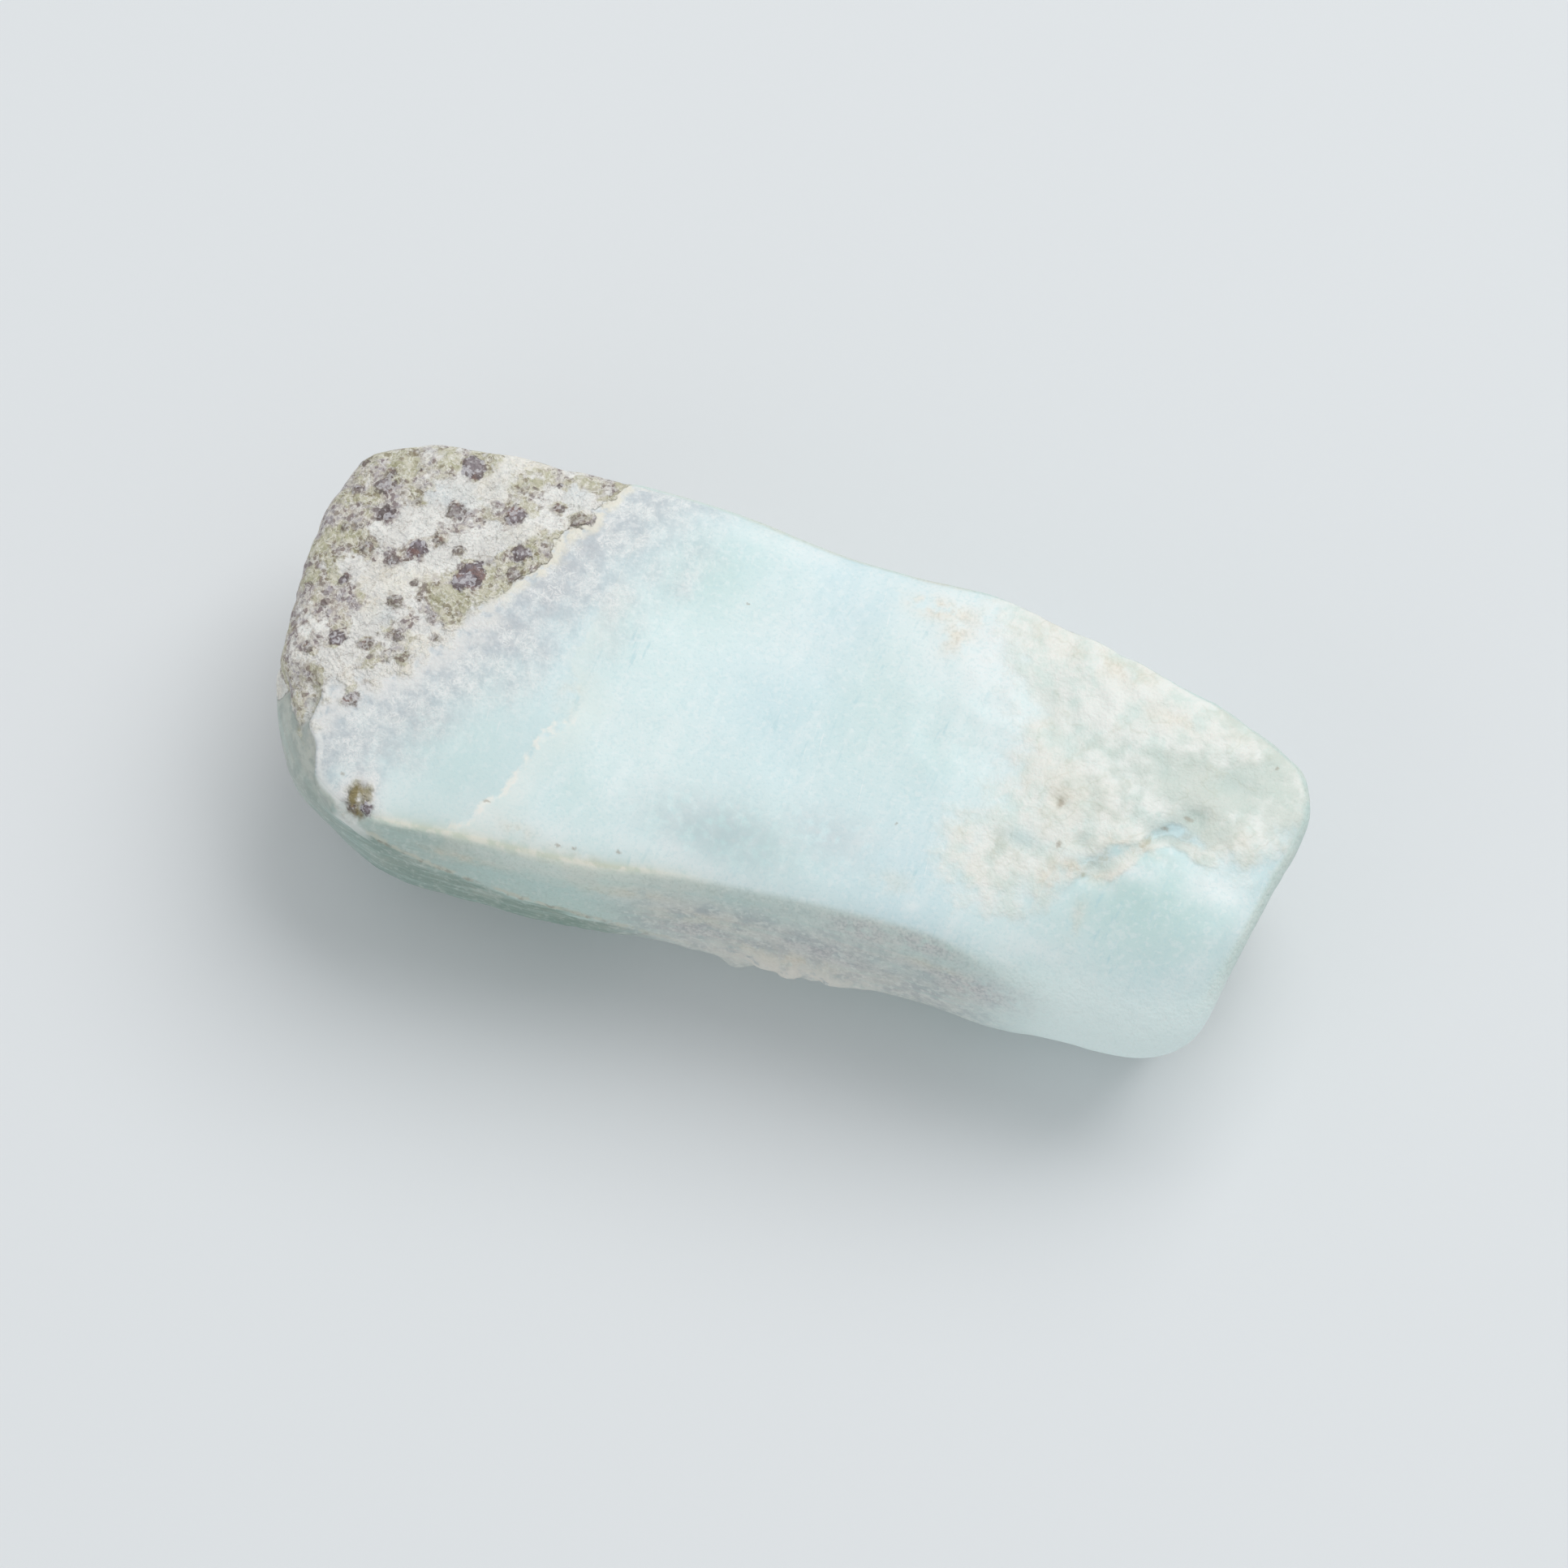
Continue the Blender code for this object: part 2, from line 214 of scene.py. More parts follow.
skin, bitten = broken(block)
show_face = ease(skin[:, 2], *SHOW_FACE_FADE)
facing = outward(skin, quads)
wall = 1 - ease(facing[:, 2], 0.45, 0.95)
front = ease(-skin[:, 1], *FRONT_WALL_FADE) * ease(-facing[:, 1], 0.1, 0.6)


# The host-rock crust
# The vein's wall rock clings to the left end: pale zeolite cement with olive grains and
# purple-brown crystals a millimetre across, ground flush with the show face by wear.

# The crust's edge on the show face, as y and x.
CRUST_EDGE = [(-12, -21.5), (-9, -20.8), (-7.5, -20.0), (-6.5, -19.4), (-5.6, -18.6), (-4.6, -17.3),
              (-3.5, -15.9), (-2.3, -15.1), (-0.8, -14.5), (0.8, -13.4), (2.5, -12.3), (4.2, -11.5),
              (5.5, -11.2), (7.5, -10.2), (10, -9.6)]
CRUST_LEAN, CRUST_SLOPE = 0.12, 0.8
CORNER_PATCH, CORNER_PATCH_REACH, CORNER_PATCH_STEEP = (-16.5, -10.05), (0.5, 0.7), 2.0
WALL_CRUST_ENDS = (4.2, 5.8)
CRUST_LUMPS, CRUST_GRAINS, CRUST_SINK, CRUST_WEAR = 0.45, 0.15, 0.15, 0.5
CRYSTAL_HEIGHT, CRYSTAL_GAP, GAP_WIDTH, PATCH_SINK = 0.05, 0.07, 0.09, 0.07

# The larger crystals on the show face: x, y, radius, and tone from purple (0) to olive (1).
CRYSTALS = [(-15.2, 0.8, 0.74, 0.0), (-16.8, 5.7, 0.72, 0.1), (-14.4, 4.1, 0.52, 0.1),
            (-11.8, 4.6, 0.46, 0.6), (-13.5, 2.5, 0.52, 0.1), (-13.6, 1.4, 0.42, 0.4),
            (-17.9, 1.3, 0.42, 0.0), (-18.7, 0.5, 0.30, 0.2), (-19.7, 2.5, 0.52, 0.1),
            (-20.1, 3.6, 0.50, 0.2), (-16.8, 3.4, 0.48, 0.3), (-20.4, -1.0, 0.30, 0.1),
            (-20.9, -2.1, 0.28, 0.3), (-19.7, -3.5, 0.42, 0.1), (-18.4, -3.3, 0.36, 0.4),
            (-17.9, -1.2, 0.34, 0.5), (-17.4, -2.7, 0.26, 0.3), (-16.7, -3.7, 0.34, 0.95),
            (-17.5, -3.7, 0.20, 0.5), (-15.1, -1.1, 0.26, 0.7), (-18.3, -6.0, 0.45, 0.3),
            (-12.8, 5.1, 0.34, 0.3), (-19.9, -5.6, 0.22, 0.7), (-17.0, 2.0, 0.34, 0.5),
            (-16.1, 1.6, 0.28, 0.4), (-21.1, 1.4, 0.30, 0.5), (-21.4, 3.3, 0.30, 0.2),
            (-19.9, 0.8, 0.28, 0.3), (-20.8, -4.2, 0.36, 0.4), (-21.5, 4.8, 0.26, 0.4),
            (-20.1, 4.5, 0.28, 0.3), (-18.5, 3.3, 0.28, 0.6), (-16.7, -10.45, 0.28, 0.4),
            (-16.0, -10.15, 0.32, 0.0), (-13.0, 6.2, 0.16, 0.1), (-15.7, -2.3, 0.20, 0.6),
            (-16.2, -1.4, 0.18, 0.4), (-18.9, 5.0, 0.24, 0.2), (-15.6, 3.3, 0.15, 0.2),
            (-17.3, -0.2, 0.18, 0.5)]
HIDDEN_CRYSTALS, HIDDEN_RADII, HIDDEN_FRONT = 150, (0.22, 0.6), -5.0

# Olive patches round the crystals: x, y and radius.
OLIVE = [(-13.7, 4.8, 0.6), (-12.8, 3.8, 0.9), (-12.7, 2.7, 0.8), (-13.3, 1.5, 0.8),
         (-17.9, 5.3, 0.8), (-18.7, 3.8, 0.6), (-19.8, 5.1, 0.8), (-17.6, 2.8, 0.5),
         (-15.2, -0.4, 1.0), (-16.2, -0.5, 0.9), (-17.1, -0.6, 0.5), (-18.4, -2.2, 0.7),
         (-18.6, -2.9, 0.5), (-20.3, 0.4, 0.6), (-20.9, 1.0, 0.6), (-21.7, 0.5, 0.5),
         (-19.8, -6.2, 0.4), (-20.5, 3.0, 0.6), (-21.6, 3.0, 0.5), (-21.2, 4.0, 0.4),
         (-18.2, 6.1, 0.7), (-16.6, -3.6, 0.35), (-19.9, -5.0, 0.4), (-18.2, -5.6, 0.35),
         (-16.8, -9.75, 0.35), (-14.9, -1.5, 0.5), (-17.2, 6.3, 0.5), (-21.0, 5.3, 0.6)]

# Veins of white cement between the granular patches, as points x and y.
VEINS = [[(-14.6, 7.2), (-15.8, 5.4), (-16.8, 4.5), (-17.8, 3.3), (-18.8, 1.8), (-19.8, 1.9)],
         [(-12.2, 5.6), (-14.1, 3.1), (-15.5, 2.3), (-16.6, 1.4), (-17.2, 0.5), (-18.6, -0.3),
          (-20.4, -0.5)],
         [(-17.8, -0.3), (-18.4, -1.5), (-18.9, -2.8), (-19.2, -4.6)],
         [(-14.3, -1.9), (-15.6, -3.0), (-16.9, -4.6)]]
VEIN_REACH = (0.1, 1.1)

# Where the rock is more or less olive, and more or less granular than chance alone would make
# it: x, y, their two reaches and strength.
OLIVE_PLACES = [(-19.8, 3.4, 1.3, 1.3, -0.4), (-20.5, -1.9, 1.1, 0.9, -0.6)]
GRANULAR_PLACES = [(-21.2, 3.2, 2.0, 2.4, 0.4), (-18.8, -1.2, 1.2, 1.0, -0.3),
                   (-19.9, -5.6, 1.0, 1.2, -0.3)]


def mound(points, middle, reach):
    """A round hump: e to the minus square of the distance from the middle over the reach."""
    return np.exp(-(((points - middle) / reach) ** 2).sum(axis=1))


def mounds(points, humps):
    """The sum of round humps in plan, each given as x, y, its two reaches and its strength."""
    return sum(strength * mound(points[:, :2], (x, y), (wide, deep))
               for x, y, wide, deep, strength in humps)


def outside_crystal(points, middle, radius, random):
    """Distance outside a block with six faces and eight cut-off corners, turned at random: the
    most that a point stands past any of its faces or corner cuts."""
    turned, _ = np.linalg.qr(random.normal(size=(3, 3)))
    along = np.abs((points - middle) @ turned)
    faces, cuts = random.uniform(0.62, 1.0, 3) * radius, random.uniform(0.75, 0.95) * radius
    return np.maximum((along - faces).max(axis=1), along.sum(axis=1) / 3 ** 0.5 - cuts)


def set_crystals(points, crust):
    """Distance outside the nearest crystal, and that crystal's tone. Those on the show face
    stand at their listed places, and the rest at random points of the crust's other sides."""
    random = np.random.default_rng(5)
    nearest, tone = np.full(len(points), 2.0), np.zeros(len(points))
    seeds = []
    for x, y, radius, shade in CRYSTALS:
        at = np.argmin(np.hypot(points[:, 0] - x, points[:, 1] - y) + 9 * (1 - show_face))
        seeds.append((points[at], radius, shade))
    unseen = (crust > 0.3) & (show_face < 0.6) & (points[:, 1] > HIDDEN_FRONT)
    hidden = random.choice(np.flatnonzero(unseen), HIDDEN_CRYSTALS)
    seeds += [(points[at], random.uniform(*HIDDEN_RADII), random.uniform(0, 0.8)) for at in hidden]
    pushes = np.stack([lattice_noise(points, 0.45, seed) for seed in (15, 16, 17)], axis=1)
    uneven = points + 0.12 * pushes
    for middle, radius, shade in seeds:
        away = outside_crystal(uneven, middle, radius, random)
        closer = away < nearest
        nearest, tone = np.where(closer, away, nearest), np.where(closer, shade, tone)
    return nearest, tone


def line_distance(points, line):
    """Signed distance in plan from a line of straight pieces, above 0 on its right."""
    best, sign = np.full(len(points), 99.0), np.ones(len(points))
    for start, end in zip(np.array(line[:-1]), np.array(line[1:])):
        run, off = end - start, points[:, :2] - start
        share = np.clip(off @ run / (run @ run), 0, 1)
        away = np.linalg.norm(off - share[:, None] * run, axis=1)
        side = np.sign(off[:, 0] * run[1] - off[:, 1] * run[0])
        closer = away < best
        best, sign = np.where(closer, away, best), np.where(closer, side, sign)
    return best * sign


lean = CRUST_LEAN * (12 - skin[:, 2])
crust = (smooth_curve(CRUST_EDGE, skin[:, 1]) + lean - skin[:, 0]) * CRUST_SLOPE
crust += 0.5 * layered_noise(skin, 1.8, 20) + 0.2 * lattice_noise(skin, 0.7, 25)
crust += 1.6 * layered_noise(skin, 3.5, 28) * (1 - show_face)
wall_crust_end = -skin[:, 1] + 2.0 * layered_noise(skin, 3.0, 29) * (1 - show_face)
crust -= 4 * (1 - show_face) * ease(wall_crust_end, *WALL_CRUST_ENDS)
wavy = skin + 0.5 * np.stack([layered_noise(skin, 1.4, seed) for seed in (21, 22, 23)], axis=1)
uneven_place = np.stack([lattice_noise(skin, 0.5, seed) for seed in (18, 19)], axis=1)
uneven_place = wavy[:, :2] + 0.2 * uneven_place
from_patch = np.linalg.norm((uneven_place - CORNER_PATCH) / CORNER_PATCH_REACH, axis=1)
crust = np.maximum(crust, CORNER_PATCH_STEEP * (1 - from_patch) - 6 * (1 - show_face))
crust_cover = ease(crust, -0.3, 0.4)
crystal, crystal_tone = set_crystals(skin, crust)
vein = np.min([np.abs(line_distance(wavy, line)) for line in VEINS], axis=0) * show_face
vein += 4.0 * np.abs(layered_noise(skin, 4.5, 32)) * (1 - show_face)
vein_cover = (1 - ease(vein, *VEIN_REACH)) * ease(layered_noise(skin, 1.6, 24), -0.6, -0.1)
olive = np.max([radius - np.hypot(wavy[:, 0] - x, wavy[:, 1] - y)
                for x, y, radius in OLIVE], axis=0)
olive_noise = 1.1 * layered_noise(skin, 3.0, 26) - 0.1 + 0.1 * ease(-skin[:, 1], 0.0, 3.0)
olive_noise += mounds(skin, OLIVE_PLACES)
olive = np.maximum(olive - 3 * (1 - show_face), olive_noise)
patch = 1.1 * layered_noise(skin, 1.4, 27) - 0.06 + 0.36 * ease(-skin[:, 0], 18.0, 20.5)
patch += mounds(skin, GRANULAR_PLACES) + 0.05 * ease(-skin[:, 1], -1.0, 2.0)
patch = np.maximum(patch, np.maximum(0.7 * olive, 0.15 - crystal))
patch -= 1.0 * vein_cover * ease(crystal, -0.1, 0.3)

crust_height = CRUST_LUMPS * layered_noise(skin, 2.6, 30)
crust_height += CRUST_GRAINS * lattice_noise(skin, 1.2, 34) - CRUST_SINK
crust_height += 0.08 * layered_noise(skin, 0.7, 36)
crust_height -= ease(patch, -0.1, 0.3) * (PATCH_SINK + 0.1 * lattice_noise(skin, 0.4, 38))
crust_height *= crust_cover * (1 - CRUST_WEAR * show_face)
crust_height += CRYSTAL_HEIGHT * (1 - ease(crystal, -0.12, 0.06)) * ease(crust, -1.5, -0.5)
crust_height -= CRYSTAL_GAP * np.exp(-(((crystal - 0.1) / GAP_WIDTH) ** 2)) * crust_cover


# The left corner's ledge
# At the left front corner a plate about half a millimetre thick has broken off beside the show
# face, so the white rim stands over a darker step that runs down to the front.

CORNER_RIM = [(-20.9, -3.6), (-20.0, -5.2), (-19.4, -6.2), (-19.6, -7.3), (-19.0, -8.2),
              (-18.6, -9.1), (-18.0, -9.9), (-17.2, -10.5), (-15.5, -11.1)]
CORNER_STEP = 0.45
CORNER_BULGE, BULGE_MIDDLE, BULGE_REACH = 0.35, (-19.8, -8.2, 7.2), (2.4, 2.4, 2.4)

corner = line_distance(skin + 0.12 * lattice_noise(skin, 0.8, 76)[:, None], CORNER_RIM)
corner_reach = ease(-skin[:, 1], 4.6, 6.0) * ease(skin[:, 2], 8.6, 9.8)
corner_reach *= ease(-skin[:, 0], 14.5, 16.5)
corner_height = -CORNER_STEP * ease(corner, 0.0, 0.3) * corner_reach
corner_height += CORNER_BULGE * mound(skin, BULGE_MIDDLE, BULGE_REACH)


# The rough cream end
# Towards the right end the show face is lumpy, cream and white larimar, less worn than the
# blue, with dents where grains fell out and a ragged crevice along its front edge.

ROUGH_MIDDLE, ROUGH_REACH, ROUGH_LUMPS = (14.5, 2.2, 12.0), (8.5, 5.2, 3.5), 0.32
# Dents: x, y, radius and depth.
DENTS = [(16.8, -0.3, 1.0, 0.28), (14.1, -3.1, 0.8, 0.2), (11.8, -1.0, 0.3, 0.22),
         (18.7, 2.4, 1.0, 0.25), (9.6, 3.4, 1.2, 0.2), (15.9, -1.0, 0.45, 0.25),
         (17.6, 0.3, 0.4, 0.25), (13.2, -2.4, 0.4, 0.2), (12.4, 0.4, 0.5, 0.12)]
# The edge of the cream, from the back rim down its soft left side, and then along the crevice.
CREAM_EDGE = [(5.0, 9.5), (6.2, 6.5), (7.8, 4.0), (9.0, 2.3), (9.2, 0.5), (8.9, -1.5), (7.8, -3.4),
              (7.8, -5.4), (9.4, -6.6), (11.6, -6.1), (12.9, -4.9), (13.9, -3.5), (14.9, -2.2),
              (16.0, -1.0), (17.2, -0.3), (18.3, -1.2), (19.9, -1.4), (21.0, -0.7), (21.7, 0.8),
              (23.5, 2.5)]
SHELF_HEIGHT, SHELF_WIDTH, CREVICE_DEPTH, CREVICE_WIDTH = 0.10, 2.0, 0.08, 0.3
CREVICE_STARTS, CREVICE_ENDS = (12.4, 13.8), (17.6, 19.0)
# A strip of cream along the crevice's lower side, and how far it reaches to each side.
CREAM_STRIP = [(13.3, -3.9), (14.8, -3.2), (15.3, -2.3), (15.7, -1.6), (17.0, -1.15), (18.5, -1.1)]
STRIP_REACH = 0.42

rough_height = ROUGH_LUMPS * layered_noise(skin, 2.8, 40)
rough_height += 0.18 * layered_noise(skin, 1.1, 44)
rough_height *= mound(skin, ROUGH_MIDDLE, ROUGH_REACH)
for x, y, radius, depth in DENTS:
    rough_height -= depth * mound(skin[:, :2], (x, y), radius) * show_face
cream_mm = -line_distance(wavy, CREAM_EDGE)
crevice = ease(skin[:, 0], *CREVICE_STARTS) * (1 - ease(skin[:, 0], *CREVICE_ENDS)) * show_face
opened = ease(layered_noise(skin, 1.6, 47), -0.3, 0.4) * crevice
shelf = ease(cream_mm, -0.12, 0.15) * (1 - ease(cream_mm, 0.5, SHELF_WIDTH))
rough_height += SHELF_HEIGHT * shelf * opened
rough_height -= CREVICE_DEPTH * mound(cream_mm[:, None], -0.2, CREVICE_WIDTH) * opened
cream = ease(cream_mm, -2.4 + 2.1 * crevice, 3.2 - 2.5 * crevice)
strip = mound(line_distance(wavy, CREAM_STRIP)[:, None], 0.0, STRIP_REACH)
cream = np.maximum(cream, 0.9 * strip)
cream = cream * show_face + (1 - show_face) * ease(layered_noise(skin, 4.0, 46), 0.2, 0.7)


# The front wall
# Below the show face's cream rim a thin ledge runs down the wall from the left corner. Under it
# the wall is rough and dark green, with a crusty beige lip and a hanging shard at the middle.

# The ledge's line on the wall, as x and z.
LEDGE_LINE = [(-17, 10.5), (-15, 9.7), (-13, 9.0), (-10, 8.2), (-6, 7.6), (-3.5, 6.7), (0, 5.8),
              (6, 5.4)]
LEDGE_STEP, LEDGE_STARTS, LEDGE_ENDS, ROUGH_STARTS = 0.24, (-19, -16), (2, 8), (-7, -3)
BANDS_START, BANDS_END = (-20.5, -15.0), (-6, 0)
RIM_CREAM_STARTS, RIM_CREAM_ENDS = (-17, -14.5), (-5, 0)
GRANULAR_STARTS, GRANULAR_ENDS, SMOOTH_RIM = (-7, -2), (11.6, 14.6), 0.7
LIP_MIDDLE, LIP_REACH, LIP_HEIGHT = (2.8, -9.2, 6.0), (3.8, 1.6, 0.9), 0.4
SHARD_MIDDLE, SHARD_REACH, SHARD_HEIGHT = (0.1, -8.9, 4.5), (0.9, 1.6, 0.6), 0.7

below = smooth_curve(LEDGE_LINE, skin[:, 0]) - skin[:, 2]
ledge_reach = ease(skin[:, 0], *LEDGE_STARTS) * (1 - ease(skin[:, 0], *LEDGE_ENDS))
ledge = (0.6 * mound(below[:, None], 0.5, 1.2) - ease(below, 0.6, 1.4)) * ledge_reach
wall_rough = ROUGH_LUMPS * layered_noise(skin, 1.8, 50) * ease(below, -0.5, 1.5)
wall_rough *= 0.4 + 0.6 * ease(skin[:, 0], *ROUGH_STARTS)
lip = LIP_HEIGHT * mound(skin, LIP_MIDDLE, LIP_REACH)
shard = SHARD_HEIGHT * mound(skin, SHARD_MIDDLE, SHARD_REACH)
front_height = ease(-skin[:, 1], *FRONT_WALL_FADE) * (LEDGE_STEP * ledge + wall_rough)
front_height += lip * (1 + 2 * wall_rough + 1.2 * layered_noise(skin, 0.8, 54)) + shard
granular = ease(skin[:, 0], *GRANULAR_STARTS) * (1 - ease(skin[:, 0], *GRANULAR_ENDS)) * front
granular *= 1 - SMOOTH_RIM * ease(skin[:, 2] + 0.8 * layered_noise(skin, 2.0, 55), 9.0, 10.4)
banded = ease(skin[:, 0] + 1.5 * layered_noise(skin, 3.0, 56), *BANDS_START) * front
banded *= 1 - ease(skin[:, 0], *BANDS_END)
rim_cream = mound(wall[:, None], 0.4, 0.3) * front
rim_cream *= ease(skin[:, 0], *RIM_CREAM_STARTS) * (1 - ease(skin[:, 0], *RIM_CREAM_ENDS))


# The flaked patch
# At the left a thin flake has lifted off the show face. Its edge is a ragged white line that
# zigzags from the front rim to the middle, with bluer larimar on its left.

FLAKE_EDGE = [(-12.8, -10.8), (-12.0, -9.8), (-11.4, -8.7), (-10.7, -8.0), (-10.3, -6.6), (-10.0, -5.2),
              (-9.2, -4.4), (-8.8, -3.2), (-9.6, -2.3), (-10.2, -1.6), (-9.6, -0.4), (-9.4, 1.5)]
FLAKE_STEP = 0.06

ragged = skin + 0.35 * np.stack([layered_noise(skin, 1.0, seed) for seed in (80, 83, 86)], axis=1)
flake = line_distance(ragged, FLAKE_EDGE)
flake_height = FLAKE_STEP * ease(flake, -0.15, 0.15) * ease(-skin[:, 0], 5.5, 8.5)
flake_sharp = 0.2 + 0.8 * ease(-skin[:, 1], 3.2, 4.8)
flake_height *= show_face * (1 - crust_cover) * flake_sharp


# Clouds and stains in the larimar
# The vein grew in radiating sprays, so the blue is clouded with aqua, milk and lilac, and rusty
# water has left tan and brown marks.

# Clouds on the show face: x, y, their two reaches and strength. The teal clouds are darker aqua,
# partly the stone's own and partly painted shade, in the dents by the crevice and round x -1,
# y -6.7, where the aqua and lilac clouds also add painted shade to the stone's own clouding as
# the show face curves down to the front rim.
CLOUDS = {
    "aqua": [(-6.0, 4.6, 3.0, 2.4, 0.9), (-13.4, -6.8, 2.6, 2.2, 0.4), (-12.4, -3.4, 1.8, 1.6, 0.3),
             (2.6, 0.6, 3.4, 2.6, 0.3), (16.6, -3.8, 4.2, 3.2, 1.0), (-8.5, 1.5, 1.2, 3.0, 0.4),
             (-1.0, -6.6, 3.0, 1.2, 0.8), (-7.6, -6.4, 1.6, 1.8, 0.5), (20.2, -3.5, 1.6, 2.6, 0.6),
             (6.5, -1.0, 1.6, 2.6, 0.35), (20.9, 3.6, 1.4, 1.4, 0.5), (15.5, -8.4, 4.0, 1.2, 0.5)],
    "teal_and_shade": [(16.9, -0.6, 0.7, 0.4, 1.0), (13.7, -3.1, 0.7, 0.3, 0.6), (10.9, -3.0, 0.9, 0.4, 0.5),
             (-1.0, -6.8, 3.4, 1.3, 0.4), (20.6, -4.6, 0.5, 0.7, 0.4)],
    "milk": [(8.0, 6.2, 3.4, 1.8, 0.9), (7.0, 4.8, 3.6, 2.6, 1.0), (9.5, 1.6, 1.8, 2.8, 0.6),
             (-6.5, -5.5, 2.6, 2.6, 0.2), (-1.0, 3.0, 3.0, 2.2, 0.4), (4.5, 6.0, 2.6, 1.4, 0.85),
             (-15.0, -9.4, 1.8, 0.8, 0.5), (-2.0, -8.3, 4.0, 0.5, 0.6), (-8.6, -9.0, 1.6, 0.7, 0.5),
             (-11.1, -9.1, 1.0, 0.7, 1.0), (-3.0, 6.7, 4.0, 0.6, 0.5), (-10.2, -7.6, 0.5, 1.0, 0.7),
             (10.4, -6.1, 1.4, 0.35, 0.5), (12.9, -7.0, 1.2, 0.3, 0.5), (14.9, -7.6, 0.8, 0.4, 0.6),
             (7.3, -7.0, 0.4, 0.5, 0.7), (15.4, -2.9, 1.3, 0.4, 0.8), (19.3, -2.4, 1.4, 0.7, 0.8),
             (20.9, -3.8, 0.5, 1.6, 0.6), (-3.0, -7.9, 1.0, 0.3, 0.8)],
    "lilac": [(-11.8, 1.0, 1.0, 1.3, 0.9), (-11.6, 2.5, 1.0, 1.0, 0.8), (-10.9, 3.6, 0.8, 1.5, 0.7),
              (-12.7, -1.0, 1.0, 0.8, 0.8), (-15.2, -6.0, 1.3, 0.8, 0.6), (-16.5, -7.6, 1.5, 0.8, 0.6),
              (-1.5, -6.6, 3.2, 1.3, 0.6), (3.0, -5.4, 2.2, 1.2, 0.4)],
    "tan": [(4.4, 5.8, 1.4, 0.5, 0.9), (5.3, 4.8, 0.6, 0.9, 0.8), (3.3, 6.0, 0.9, 0.3, 0.6),
            (13.7, -3.6, 1.2, 0.4, 0.7), (12.2, -0.8, 0.8, 0.6, 0.4), (15.4, -1.9, 1.2, 0.3, 0.6),
            (14.1, -5.6, 0.3, 1.2, 0.4), (17.2, -0.6, 0.9, 0.4, 0.5), (12.0, 5.6, 2.2, 0.7, 0.5),
            (15.5, 4.2, 1.6, 0.6, 0.4), (6.3, -6.5, 1.0, 0.5, 0.3), (12.4, -4.2, 0.4, 0.9, 0.6),
            (9.6, -4.9, 1.2, 0.8, 0.2), (8.4, -3.4, 0.6, 0.8, 0.2), (-9.4, -3.0, 0.5, 0.9, 0.3),
            (-9.6, -9.2, 0.8, 0.3, 0.5), (-6.5, -9.4, 1.6, 0.2, 0.4)],
}

# Clouds on the front wall: x, z, their two reaches and strength.
WALL_CLOUDS = {
    "aqua": [(-8.0, 9.2, 4.0, 0.8, 0.8), (15.5, 7.0, 4.0, 4.0, 0.9), (7.2, 8.5, 2.6, 0.6, 0.6)],
    "teal_and_shade": [],
    "milk": [(-9.0, 10.4, 2.6, 0.5, 0.5), (-4.5, 9.0, 1.6, 0.3, 0.6)],
    "lilac": [(-1.5, 7.4, 1.4, 0.6, 0.8), (5.6, 10.6, 1.6, 0.8, 0.8), (8.2, 10.9, 1.8, 0.7, 1.0),
              (10.6, 8.9, 2.2, 1.0, 0.8), (4.2, 8.2, 2.2, 0.8, 0.7)],
    "tan": [(-1.4, 8.4, 1.6, 0.6, 0.4), (2.4, 6.9, 2.4, 0.4, 0.5), (8.8, 9.6, 1.2, 0.25, 0.4),
            (16.6, 4.6, 0.5, 0.2, 0.6), (-4.6, 9.6, 2.0, 0.4, 0.4), (-12.0, 9.8, 2.0, 0.3, 0.5)],
}

# Specks on the show face: x, y, and their reaches.
SPECKS = [(-7.7, -9.35, 0.10, 0.05), (-7.05, -9.25, 0.07, 0.05), (-5.2, -8.8, 0.10, 0.07),
          (-11.2, -8.5, 0.14, 0.06), (-3.6, 3.4, 0.05, 0.05), (5.6, -4.05, 0.06, 0.07),
          (-17.5, -9.15, 0.08, 0.06), (11.9, -1.05, 0.12, 0.2), (12.4, -2.8, 0.09, 0.12),
          (16.4, -0.6, 0.12, 0.07), (17.2, 0.15, 0.16, 0.08), (20.0, 3.7, 0.06, 0.06)]

# Where the cream end is greyer and greener, or cleaner: x, y, their two reaches and strength.
DINGY_PLACES = [(11.2, 4.6, 3.2, 3.0, -0.9), (15.5, 2.2, 3.6, 1.8, 0.55),
                (20.5, 0.9, 1.6, 1.6, 0.4), (10.5, -4.8, 1.8, 1.4, -0.5)]
HIDDEN_SIDES = (4.0, 7.0)


def clouded(name, points, off_show, noise_size, seed):
    """The strongest of the named clouds at each point: a round hump for each one, in plan on
    the show face and in elevation on the front wall, and slow noise on the hidden sides."""
    humps = [strength * mound(points[:, :2], (x, y), (wide, deep)) * (1 - off_show)
             for x, y, wide, deep, strength in CLOUDS[name]]
    humps += [strength * mound(points[:, ::2], (x, z), (wide, high)) * front * off_show
              for x, z, wide, high, strength in WALL_CLOUDS[name]]
    hidden = off_show * (1 - ease(-points[:, 1], *HIDDEN_SIDES))
    elsewhere = ease(layered_noise(points, noise_size, seed), 0.1, 0.65) * hidden
    return np.max(humps, axis=0) + 0.8 * elsewhere


